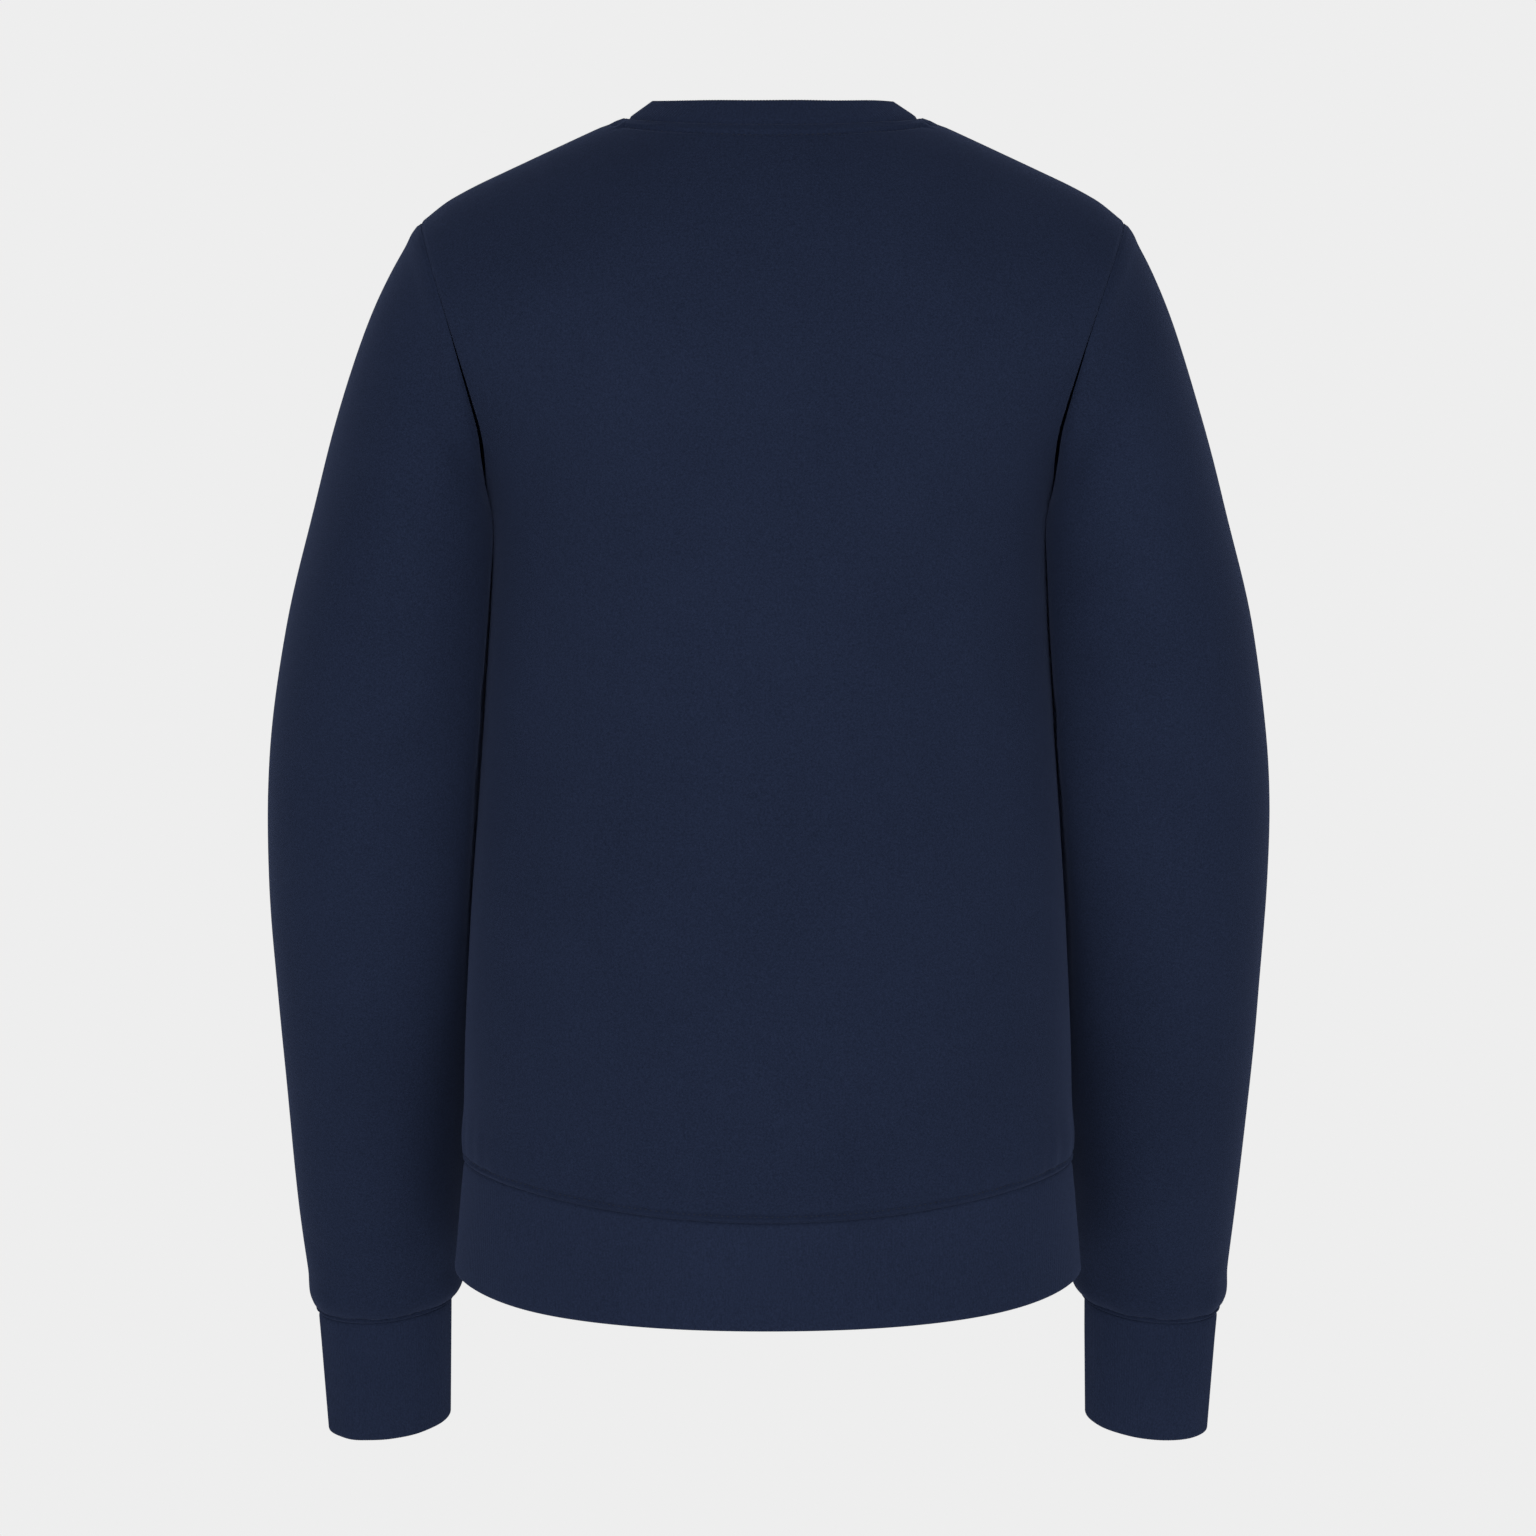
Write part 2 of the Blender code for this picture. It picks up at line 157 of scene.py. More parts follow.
def grid_normals(points: np.ndarray, outwards: int, closed: bool) -> np.ndarray:
    """The grid's unit normals, from the cross product of its two directions.

    Args:
        points: a grid of points, rows first.
        outwards: 1 or -1, the sign that turns the cross product outwards.
        closed: whether each row joins up with its own start.

    Returns:
        One unit vector for each point.
    """
    if closed:
        across = np.roll(points, -1, axis=1) - np.roll(points, 1, axis=1)
    else:
        across = np.gradient(points, axis=1)
    normals = outwards * np.cross(across, np.gradient(points, axis=0))
    return normals / np.maximum(np.linalg.norm(normals, axis=-1, keepdims=True), 1e-9)


def surface_normals(surface: Surface, u: np.ndarray, v: np.ndarray, outwards: int) -> np.ndarray:
    """The unit normals of a surface of two parameters, from its change over a small step in each.

    Args:
        surface: gives a point for each u and v.
        u: the first parameter at each place.
        v: the second parameter at each place.
        outwards: 1 or -1, the sign that turns the cross product outwards.

    Returns:
        One unit vector for each place.
    """
    step = 1e-3
    low, high = np.clip(v - step, 0, 1), np.clip(v + step, 0, 1)
    normals = np.cross(surface(u + step, v) - surface(u - step, v), surface(u, high) - surface(u, low))
    return outwards * normals / np.linalg.norm(normals, axis=-1, keepdims=True)


def nearest_on(points: np.ndarray, line: np.ndarray, reach: float) -> tuple[np.ndarray, np.ndarray]:
    """Finds how far each point is from a closed line, for those near it.

    Args:
        points: a grid of points.
        line: points closely spaced along the line.
        reach: the distance beyond which nothing is measured.

    Returns:
        The distances, which are reach where a point is further, and the length along the line at the
        nearest place on it.
    """
    flat = points.reshape(-1, 3)
    low, high = line.min(axis=0) - reach, line.max(axis=0) + reach
    near = np.flatnonzero(np.all((flat > low) & (flat < high), axis=1))
    gaps = np.linalg.norm(flat[near, None] - line[None], axis=-1)
    closest = gaps.argmin(axis=1)
    distance, place = np.full(len(flat), reach), np.zeros(len(flat))
    distance[near] = np.minimum(gaps[np.arange(len(near)), closest], reach)
    place[near] = lengths_along(line, 0)[closest]
    return distance.reshape(points.shape[:2]), place.reshape(points.shape[:2])


# ---------------------------------------------------------------- the garment's form


@dataclass(frozen=True)
class BodyLevel:
    """How wide and deep the body is at one height."""

    height: float
    half_width: float
    back_depth: float
    front_depth: float


@dataclass(frozen=True)
class BodyForm:
    """The form of the front and back panels and where their seams run."""

    levels: tuple[BodyLevel, ...] = (
        BodyLevel(-575, 162, 115, 112),
        BodyLevel(-500, 161.5, 117, 114),
        BodyLevel(-430, 158.5, 112, 114),
        BodyLevel(-340, 152.5, 109, 118),
        BodyLevel(-260, 147.5, 112, 124),
        BodyLevel(-190, 143, 113, 121),
        BodyLevel(-110, 143, 104, 100),
        BodyLevel(-40, 143, 86, 80),
        BodyLevel(30, 143, 72, 66),
    )
    neck_half_width: float = 77.0
    back_neck_drop: float = 2.0
    front_neck_drop: float = 86.0
    neckline_power: float = 2.4
    front_neckline_roundness: float = 0.6
    shoulder_half_width: float = 186.0
    shoulder_slope: float = 0.475
    shoulder_saddle: float = 25.0
    shoulder_bend_start: float = 150.0
    shoulder_bend: float = 0.003
    shoulder_rounding: float = 85.0
    underarm_half_width: float = 143.5
    underarm_height: float = -205.0
    underarm_bridge: tuple[float, ...] = (-75.0, -60.0, 45.0, 60.0)
    armhole_curve: float = 1.3
    armhole_wrap: float = 0.66
    armhole_fullness: float = 3.0
    squareness: float = 0.83
    hem_side_height: float = -552.0
    hem_back_drop: float = 19.0
    hem_front_drop: float = 11.0

    def measure(self, name: str, height: np.ndarray) -> np.ndarray:
        """One measure of the levels, read smoothly at the heights.

        Args:
            name: the measure's field in BodyLevel.
            height: where to read it.

        Returns:
            The measure at each height.
        """
        return smooth_through(
            [level.height for level in self.levels],
            [getattr(level, name) for level in self.levels],
            height,
        )

    def ridge_height(self, x: np.ndarray) -> np.ndarray:
        """The line along the shoulders: a hyperbola that slopes to both sides and bends down at its ends.

        Args:
            x: the places across the body.

        Returns:
            The line's height at each.
        """
        outwards = np.hypot(x, self.shoulder_saddle) - np.hypot(
            self.neck_half_width, self.shoulder_saddle
        )
        bend = np.maximum(0, np.abs(x) - self.shoulder_bend_start)
        return -self.shoulder_slope * outwards - self.shoulder_bend * bend**2

    def armhole_drop(self, height: np.ndarray) -> np.ndarray:
        """How far down the armhole a height is, from 0 at the shoulder to 1 at the underarm."""
        shoulder = self.ridge_height(self.shoulder_half_width)
        return np.clip((height - shoulder) / (self.underarm_height - shoulder), 0, 1)

    def armhole_angle(self, drop: np.ndarray) -> np.ndarray:
        """How far round the section a panel reaches: arccos(wrap * (1 - drop^fullness))."""
        return np.arccos(self.armhole_wrap * (1 - drop**self.armhole_fullness))

    def section_half_width(self, height: np.ndarray) -> np.ndarray:
        """The section's half width, with a cubic across the underarm, where two rules meet.

        Args:
            height: the heights of the sections.

        Returns:
            The half width at each.
        """
        knots = self.underarm_height + np.array(self.underarm_bridge)
        bridge = smooth_through(knots, self.rule_half_width(knots), height)
        near = (height > knots[1]) & (height < knots[2])
        return np.where(near, bridge, self.rule_half_width(height))

    def rule_half_width(self, height: np.ndarray) -> np.ndarray:
        """The armhole's half width divided by the sine of its angle, and the side's below the underarm.

        Args:
            height: the heights of the sections.

        Returns:
            The half width at each.
        """
        drop = self.armhole_drop(height)
        reach = self.shoulder_half_width - self.underarm_half_width
        armhole = self.underarm_half_width + reach * (1 - drop) ** self.armhole_curve
        side = self.measure("half_width", np.minimum(height, self.underarm_height))
        return np.where(drop < 1, armhole / np.sin(self.armhole_angle(drop)), side)

    def column_angle(self, column: np.ndarray, edge_angle: np.ndarray) -> np.ndarray:
        """The angle round the section at a column: a sine's share of it under the neck, even steps beyond.

        Args:
            column: the columns, from -2 to 2.
            edge_angle: the angle at the panel's edge.

        Returns:
            The angle at each column, from the middle of the panel.
        """
        neck_edge = np.arcsin(self.neck_half_width / self.section_half_width(np.array(0.0)))
        neck_share = neck_edge / self.armhole_angle(np.array(0.0))
        reach = np.abs(column)
        under_neck = neck_share * np.sin(np.pi / 2 * reach)
        beyond = neck_share + (1 - neck_share) * (reach - 1)
        return np.sign(column) * np.where(reach < 1, under_neck, beyond) * edge_angle

    def top_height(self, side: Side, column: np.ndarray) -> np.ndarray:
        """The height of a panel's top edge: a power curve for the neckline, the ridge for the shoulders.

        Args:
            side: the panel.
            column: the columns, from -2 to 2.

        Returns:
            The height at each column.
        """
        edge = self.armhole_angle(np.array(0.0))
        x = self.section_half_width(np.array(0.0)) * np.sin(self.column_angle(column, edge))
        from_shoulder = 1 - np.clip(np.abs(x) / self.neck_half_width, 0, 1) ** self.neckline_power
        if side is Side.BACK:
            neckline = -self.back_neck_drop * from_shoulder
        else:
            neckline = -self.front_neck_drop * from_shoulder**self.front_neckline_roundness
        return np.where(np.abs(column) < 1, neckline, self.ridge_height(x))

    def panel_point(self, side: Side, column: np.ndarray, row: np.ndarray) -> np.ndarray:
        """A point on a panel: a squared ellipse for the section, closing up to the shoulder ridge in a
        quarter circle.

        Args:
            side: the panel.
            column: from -2 to 2, with the neckline between -1 and 1 and the shoulder seams outside it.
            row: 0 at the top edge, 1 at the underarm and 2 at the hem seam.

        Returns:
            The points.
        """
        drop = np.where(row < 1, (1 - np.cos(np.pi * row)) / 2, row)
        top = self.top_height(side, column)
        hem_drop = self.hem_back_drop if side is Side.BACK else self.hem_front_drop
        hem = self.hem_side_height - hem_drop * np.cos(self.column_angle(column, np.pi / 2)) ** 2
        z = top + (self.underarm_height - top) * np.clip(drop, 0, 1)
        z = z + (hem - self.underarm_height) * np.clip(drop - 1, 0, 1)
        angle = self.column_angle(column, self.armhole_angle(self.armhole_drop(z)))
        x = self.section_half_width(z) * np.sin(angle)
        below_ridge = np.clip((self.ridge_height(x) - z) / self.shoulder_rounding, 0, 1)
        depth = self.measure("back_depth" if side is Side.BACK else "front_depth", z)
        section = np.clip(np.cos(angle), 0, 1) ** self.squareness
        y = side.value * depth * section * np.sqrt(1 - (1 - below_ridge) ** 2)
        return np.stack(np.broadcast_arrays(x, y, z), axis=-1)

    def all_round(self, turn: np.ndarray, reach: float, row: float) -> np.ndarray:
        """A line round the whole body along one row.

        Args:
            turn: from 0 at the left over the back to twice the reach, and on over the front.
            reach: the column where front and back meet: 1 at the neck, 2 below it.
            row: the row, as for panel_point.

        Returns:
            The points.
        """
        turn = turn % (4 * reach)
        rows = np.full_like(turn, row)
        over_back = self.panel_point(Side.BACK, reach - turn, rows)
        over_front = self.panel_point(Side.FRONT, turn - 3 * reach, rows)
        return np.where((turn <= 2 * reach)[..., None], over_back, over_front)

    def armhole_point(self, turn: np.ndarray) -> np.ndarray:
        """A point on the left armhole.

        Args:
            turn: from 0 at the shoulder over the back to 1 at the underarm, and over the front to 2.

        Returns:
            The points.
        """
        turn = turn % 2
        edge = np.full_like(turn, 2.0)
        over_back = self.panel_point(Side.BACK, edge, np.minimum(turn, 1))
        over_front = self.panel_point(Side.FRONT, edge, np.minimum(2 - turn, 1))
        return np.where((turn <= 1)[..., None], over_back, over_front)

    def side_at(self, y: np.ndarray, z: np.ndarray) -> np.ndarray:
        """How far out the body's side is in front of or behind the side seam, by the same squared ellipse.

        Args:
            y: the places in front of or behind the side seam.
            z: their heights.

        Returns:
            The body's x at each.
        """
        z = np.minimum(z, self.underarm_height)
        depth = np.where(y > 0, self.measure("back_depth", z), self.measure("front_depth", z))
        section = np.clip(np.abs(y) / depth, 0, 1) ** (1 / self.squareness)
        return self.measure("half_width", z) * np.sqrt(1 - section**2)


@dataclass(frozen=True)
class SleeveRing:
    """One ring round the left sleeve, through its outer and its inner point."""

    outer_x: float
    outer_z: float
    inner_x: float
    inner_z: float
    middle_y: float
    half_depth: float

    def point(self, lean: float, turn: np.ndarray) -> np.ndarray:
        """A point on the ring: an ellipse, whose back is lowered by lean times its reach.

        Args:
            lean: how far the ring is tipped, as height over depth.
            turn: 0 at the outside, 0.5 at the back, 1 at the inside and 1.5 at the front.

        Returns:
            The points.
        """
        out, depth = np.cos(np.pi * turn), np.sin(np.pi * turn) * self.half_depth
        x = (self.outer_x + self.inner_x) / 2 + out * (self.outer_x - self.inner_x) / 2
        z = (self.outer_z + self.inner_z) / 2 + out * (self.outer_z - self.inner_z) / 2
        return np.stack([x, self.middle_y + depth, z - lean * depth], axis=-1)


@dataclass(frozen=True)
class SleeveForm:
    """The form of the left sleeve and cuff. The right ones mirror them."""

    body: BodyForm
    rings: tuple[SleeveRing, ...] = (
        SleeveRing(202, -82, 143.0, -210, 0, 64),
        SleeveRing(215, -113, 141.0, -216, -1, 67),
        SleeveRing(230, -161, 140.0, -224, -2, 68),
        SleeveRing(243, -212, 140.0, -236, -4, 67),
        SleeveRing(256, -268, 141.0, -278, -5, 63.5),
        SleeveRing(265, -335, 145.0, -337, -9, 59),
        SleeveRing(266.5, -404, 151.0, -400, -20, 54),
        SleeveRing(263.5, -470, 156.0, -462, -37, 49),
        SleeveRing(259, -530, 161.5, -520, -55, 44),
        SleeveRing(254, -590, 166.0, -579, -73, 39),
        SleeveRing(249, -633, 166.5, -624, -84, 33.5),
        SleeveRing(245.5, -647, 173.0, -640, -88, 28.5),
    )
    cuff_edge: SleeveRing = SleeveRing(241.5, -716, 174.5, -708.5, -107, 25.5)
    seam_gap: float = 0.4
    clearance: float = 1.6
    press: float = 2.5
    hug: float = 11.0
    hug_turn: float = 1.2
    hug_reach: float = 0.2
    hug_end: tuple[float, float] = (-618.0, -560.0)

    def leans(self, rings: Sequence[SleeveRing]) -> np.ndarray:
        """How far forward the sleeve runs at each ring for each millimetre down.

        Args:
            rings: the rings, from the top.

        Returns:
            One lean for each ring.
        """
        heights = np.array([(ring.outer_z + ring.inner_z) / 2 for ring in rings])
        middles = np.array([ring.middle_y for ring in rings], float)
        return np.clip(np.gradient(middles, heights), 0, None)

    def point(self, turn: np.ndarray, along: np.ndarray) -> np.ndarray:
        """A point on the sleeve: a smooth course through the rings, drawn in towards the body at its inner
        front and kept off the body's side by a soft limit.

        Args:
            turn: 0 at the outside, 0.5 at the back, 1 at the seam under the arm and 1.5 at the front.
            along: 0 at the armhole and one more for each ring.

        Returns:
            The points.
        """
        turn, along = np.broadcast_arrays(np.asarray(turn, float), np.asarray(along, float))
        rings = [self.body.armhole_point(turn) + (self.seam_gap, 0, 0)]
        rings += [ring.point(lean, turn) for ring, lean in zip(self.rings, self.leans(self.rings))]
        points = smooth_through(np.arange(len(rings)), rings, along)
        inner_front = bump(turn % 2 - self.hug_turn, self.hug_reach)
        hugging = inner_front * eased(points[..., 2], *self.hug_end) * eased(along, 1.5, 4)
        points[..., 0] -= self.hug * hugging
        away = self.body.side_at(points[..., 1], points[..., 2]) + self.clearance - points[..., 0]
        pressed = self.press * np.logaddexp(0, away / self.press)
        points[..., 0] += pressed * np.clip(along, 0, 1) * (points[..., 2] < 0)
        return points

    def cuff_point(self, turn: np.ndarray, along: np.ndarray) -> np.ndarray:
        """A point on the cuff's form, by straight lines from the seam to the folded edge.

        Args:
            turn: as for the sleeve.
            along: 0 at the seam and 1 at the folded edge.

        Returns:
            The points.
        """
        seam = self.rings[-1].point(self.leans(self.rings)[-1], turn)
        edge = self.cuff_edge.point(self.leans(self.rings + (self.cuff_edge,))[-1], turn)
        return seam + (edge - seam) * along[..., None]


# ---------------------------------------------------------------- relief of the cloth


@dataclass(frozen=True)
class Fold:
    """A soft crease along a slightly bowed line on a piece laid flat. A trough has a negative rise."""

    start: tuple[float, float]
    end: tuple[float, float]
    width: float
    rise: float
    bow: float = 0.0

    def relief(self, across: np.ndarray, height: np.ndarray) -> np.ndarray:
        """The rise at each place: a bell across the line, times (1 - (2t - 1)^4)^2 along it.

        Args:
            across: the places across the piece.
            height: their heights.

        Returns:
            The rise at each.
        """
        run = np.subtract(self.end, self.start)
        size = np.hypot(*run)
        to_x, to_y = across - self.start[0], height - self.start[1]
        t = (to_x * run[0] + to_y * run[1]) / size**2
        off = (to_y * run[0] - to_x * run[1]) / size - self.bow * (1 - (2 * t - 1) ** 2)
        along = np.clip(1 - (2 * t - 1) ** 4, 0, 1) ** 2 * ((t > 0) & (t < 1))
        return self.rise * bump(off, self.width) * along


@dataclass(frozen=True)
class Unevenness:
    """The slight waves of cloth that hangs freely: a sum of long low waves in mixed directions."""

    seed: int
    rise: float = 0.42
    waves: int = 14
    shortest: float = 38.0
    longest: float = 150.0

    def relief(self, across: np.ndarray, height: np.ndarray) -> np.ndarray:
        """The rise at each place: the sum of sin(k . place + phase), scaled to the stated rise.

        Args:
            across: the places across the piece.
            height: their heights.

        Returns:
            The rise at each.
        """
        chance = np.random.default_rng(self.seed)
        lengths = chance.uniform(self.shortest, self.longest, self.waves)
        ways = chance.uniform(0, np.pi, self.waves)
        phases = chance.uniform(0, 2 * np.pi, self.waves)
        kx = 2 * np.pi / lengths * np.cos(ways) * 1.3
        kz = 2 * np.pi / lengths * np.sin(ways) * 0.7
        parts = np.sin(across[..., None] * kx + height[..., None] * kz + phases)
        return self.rise * (parts * lengths / self.longest).sum(axis=-1) / np.sqrt(self.waves / 2)


@dataclass(frozen=True)
class CoverSeam:
    """A seam whose allowance is stitched flat on one side, so that it shows as a low, puckered band."""

    band: float
    band_rise: float
    groove: float = 1.3
    groove_width: float = 1.0
    pitch: float = 2.9
    pucker: float = 0.16

    def relief(self, distance: np.ndarray, place: np.ndarray) -> np.ndarray:
        """The rise near the seam: a rounded band, a groove at its far edge that each stitch pulls in, and
        puckers between them.

        Args:
            distance: how far each place is from the seam.
            place: how far along the seam it is.

        Returns:
            The rise at each place.
        """
        inside = eased(distance, 0.2, 1.4) * (1 - eased(distance, self.band - 0.9, self.band + 0.3))
        pull = 0.75 + 0.25 * np.cos(2 * np.pi * place / self.pitch)
        wander = 0.6 + 0.4 * np.sin(place / 7.3) * np.sin(place / 17.0 + 1.0)
        puckers = self.pucker * np.sin(2 * np.pi * place / self.pitch + np.sin(place / 5.1)) * wander
        return (
            self.band_rise * inside
            + puckers * inside
            - self.groove * pull * bump(distance - self.band - 0.35, self.groove_width)
        )


def gathers(place: np.ndarray, distance: np.ndarray, seed: int, girth: float) -> np.ndarray:
    """Cloth eased on to a shorter rib: a low swell above the seam and small upright waves that die out.

    Args:
        place: how far along the seam each place is.
        distance: how far it is from the seam.
        seed: which set of waves.
        girth: the seam's whole length, so that the waves join up.

    Returns:
        The rise at each place.
    """
    chance = np.random.default_rng(seed)
    counts = np.round(girth / chance.uniform(11, 44, 9))
    phases = chance.uniform(0, 2 * np.pi, 9)
    waves = np.sin(2 * np.pi * place[..., None] / girth * counts + phases).sum(axis=-1) / 3
    reach = bump(np.maximum(distance - 6, 0), 20) * eased(distance, 0, 6)
    return reach * 0.3 * waves


def hung(points: np.ndarray) -> np.ndarray:
    """The points as the garment hangs: its neck and shoulders sit slightly towards the wearer's right."""
    shift = smooth_through((-430, -210, -100, -45, 20), (0, -0.8, -1.5, -2.6, -2.7), points[..., 2])
    return points + shift[..., None] * (1, 0, 0)


def level_line(distance: np.ndarray, level: float, *grids: np.ndarray) -> list[np.ndarray]:
    """Follows the line at one distance from a grid's first row.

    Args:
        distance: each place's distance from the seam at the first row, rising down each column.
        level: the distance to follow.
        grids: grids of points or directions to read along the line.

    Returns:
        Each grid's values along the line, by straight interpolation, for the columns that start nearer.
    """
    columns = np.flatnonzero(distance[0] < level)
    below = np.argmax(distance[:, columns] >= level, axis=0)
    near, far = distance[below - 1, columns], distance[below, columns]
    share = ((level - near) / (far - near))[:, None]
    return [grid[below - 1, columns] * (1 - share) + grid[below, columns] * share for grid in grids]


def spaced_out(line: np.ndarray, normals: np.ndarray, pitch: float) -> tuple[np.ndarray, ...]:
    """Places evenly spaced along a line.

    Args:
        line: points along it.
        normals: the cloth's normal at each.
        pitch: the distance between places.

    Returns:
        The places, the line's direction there and the cloth's normal there.
    """
    length = lengths_along(line, 0)
    at = np.arange(pitch / 2, length[-1], pitch)
    places = np.stack([np.interp(at, length, line[:, i]) for i in range(3)], axis=-1)
    facing = np.stack([np.interp(at, length, normals[:, i]) for i in range(3)], axis=-1)
    ways = np.gradient(places, axis=0)
    facing /= np.linalg.norm(facing, axis=-1, keepdims=True)
    return places, ways / np.linalg.norm(ways, axis=-1, keepdims=True), facing


# ---------------------------------------------------------------- meshes


@dataclass
class Shell:
    """A grid of points that becomes one piece of cloth, with its flat measures in metres as its UV map.

    closed joins each row's end to its start, and folded joins the last row to the first. The measures have
    one column or row more than the points where that is so.
    """

    name: str
    points: np.ndarray
    across: np.ndarray
    down: np.ndarray
    closed: bool
    outwards: int
    folded: bool = False

    def build(self, hand: Hand, materials: Sequence[bpy.types.Material]) -> bpy.types.Object:
        """Makes the mesh. A closed grid's last column joins up with its first.

        Args:
            hand: RIGHT mirrors the grid.
            materials: the outside's, then the inside's.

        Returns:
            The object.
        """
        rows, columns = self.points.shape[:2]
        last = columns if self.closed else columns - 1
        lowest = rows if self.folded else rows - 1
        row, column = np.meshgrid(np.arange(lowest), np.arange(last), indexing="ij")
        corners = [(0, 0), (0, 1), (1, 1), (1, 0)]
        if (self.outwards < 0) != (hand is Hand.RIGHT):
            corners.reverse()
        at = [(row + a, column + b) for a, b in corners]
        faces = np.stack([r % rows * columns + c % columns for r, c in at], axis=-1).reshape(-1, 4)
        spread = np.stack([self.across[r, c] for r, c in at], axis=-1).reshape(-1)
        length = np.stack([self.down[r, c % columns] for r, c in at], axis=-1).reshape(-1)
        turned = hung(self.points.reshape(-1, 3) * (hand.value, 1, 1))
        flat = np.stack([spread, length], axis=-1)
        return make_mesh(self.name, turned * MM, faces, materials, flat * MM)


def make_mesh(
    name: str,
    points: np.ndarray,
    faces: np.ndarray,
    materials: Sequence[bpy.types.Material],
    uv: np.ndarray | None = None,
) -> bpy.types.Object:
    """Makes a smooth mesh object from whole arrays.

    Args:
        name: the object's name.
        points: its points, in metres.
        faces: the corners of each face.
        materials: its materials, in order.
        uv: the flat place of each corner of each face, in metres.

    Returns:
        The object, linked to the scene.
    """
    mesh = bpy.data.meshes.new(name)
    mesh.from_pydata(points, [], faces.tolist())
    if uv is not None:
        mesh.uv_layers.new(name="Cut").data.foreach_set("uv", uv.ravel().astype(np.float32))
    for material in materials:
        mesh.materials.append(material)
    mesh.shade_smooth()
    made = bpy.data.objects.new(name, mesh)
    bpy.context.scene.collection.objects.link(made)
    return made


@dataclass(frozen=True)
class Stitches:
    """A row of short threads: each a small six-sided bead, flattened into the cloth."""

    length: float = 2.1
    radius: float = 0.27
    sunk: float = 0.10
    sides: int = 6
    rings: int = 5

    def build(
        self,
        name: str,
        rows: Sequence[tuple[np.ndarray, np.ndarray, np.ndarray]],
        material: bpy.types.Material,
    ) -> bpy.types.Object:
        """Joins all the threads of some rows in one mesh.

        Args:
            name: the object's name.
            rows: for each row, the middles of its threads, their directions and the cloth's normals.
            material: the thread's.

        Returns:
            The object.
        """
        middle, way, normal = (np.concatenate(part)[:, None, None, :] for part in zip(*rows))
        beside = np.cross(way, normal)
        lengthwise = np.linspace(-1, 1, self.rings)[None, :, None, None]
        turn = np.linspace(0, 2 * np.pi, self.sides, endpoint=False)[None, None, :, None]
        girth = self.radius * np.sqrt(np.clip(1.04 - lengthwise**2, 0, 1))
        ring = beside * np.cos(turn) + normal * np.sin(turn) * 0.8
        sag = -(self.sunk + 0.22 * lengthwise**2) * normal
        points = middle + way * lengthwise * self.length / 2 + ring * girth + sag
        count = self.rings * self.sides
        r, s = np.meshgrid(np.arange(self.rings - 1), np.arange(self.sides), indexing="ij")
        after = (s + 1) % self.sides
        low, high = r * self.sides, (r + 1) * self.sides
        quad = np.stack([low + s, low + after, high + after, high + s], axis=-1).reshape(-1, 4)
        cap = np.array([[0, 5, 4, 1], [1, 4, 3, 2]])
        caps = np.concatenate([cap, cap[:, ::-1] + (self.rings - 1) * self.sides])
        bead = np.concatenate([quad, caps])
        faces = (bead[None] + np.arange(len(points))[:, None, None] * count).reshape(-1, 4)
        return make_mesh(name, hung(points.reshape(-1, 3)) * MM, faces, [material])


def thicken(piece: bpy.types.Object, thickness: float, inside: int) -> None:
    """Gives a shell its thickness, inwards.

    Args:
        piece: the shell.
        thickness: how thick its cloth is.
        inside: how far on in its materials the inside's one is.
    """
    solid = piece.modifiers.new("Cloth thickness", "SOLIDIFY")
    solid.thickness = thickness * MM
    solid.offset = -1
    solid.use_even_offset = False
    solid.use_rim = True
    solid.material_offset = inside


# ---------------------------------------------------------------- finishes


class NodeBoard:
    """Lays out the shader nodes of one material or of the room's surround."""

    def __init__(self, owner: bpy.types.Material | bpy.types.World) -> None:
        """Clears the owner's nodes.

        Args:
            owner: what the nodes belong to.
        """
        owner.use_nodes = True
        self.tree = owner.node_tree
        self.tree.nodes.clear()

    def add(self, kind: str, settings: dict | None = None, **inputs: object) -> bpy.types.Node:
        """Adds a node.

        Args:
            kind: the node's type, without its ShaderNode prefix.
            settings: the node's own settings.
            inputs: its sockets by name, or by number as n0, n1 and so on, with a value or another socket.

        Returns:
            The node.
        """
        node = self.tree.nodes.new(f"ShaderNode{kind}")
        for key, value in (settings or {}).items():
            setattr(node, key, value)
        for key, value in inputs.items():
            socket = node.inputs[int(key[1:])] if key[1:].isdigit() else node.inputs[key.replace("_", " ")]
            if isinstance(value, bpy.types.NodeSocket):
                self.tree.links.new(value, socket)
            else:
                socket.default_value = value
        return node

    def sum(self, operation: str, *values: object) -> bpy.types.NodeSocket:
        """The output of a Math node on these values."""
        numbered = {f"n{i}": value for i, value in enumerate(values)}
        return self.add("Math", {"operation": operation}, **numbered).outputs[0]

    def noise(
        self, at: bpy.types.NodeSocket, scale: float, detail: float, rough: float
    ) -> bpy.types.NodeSocket:
        """The value of a Noise texture read at a vector."""
        return self.add("TexNoise", None, Vector=at, Scale=scale, Detail=detail, Roughness=rough).outputs[0]


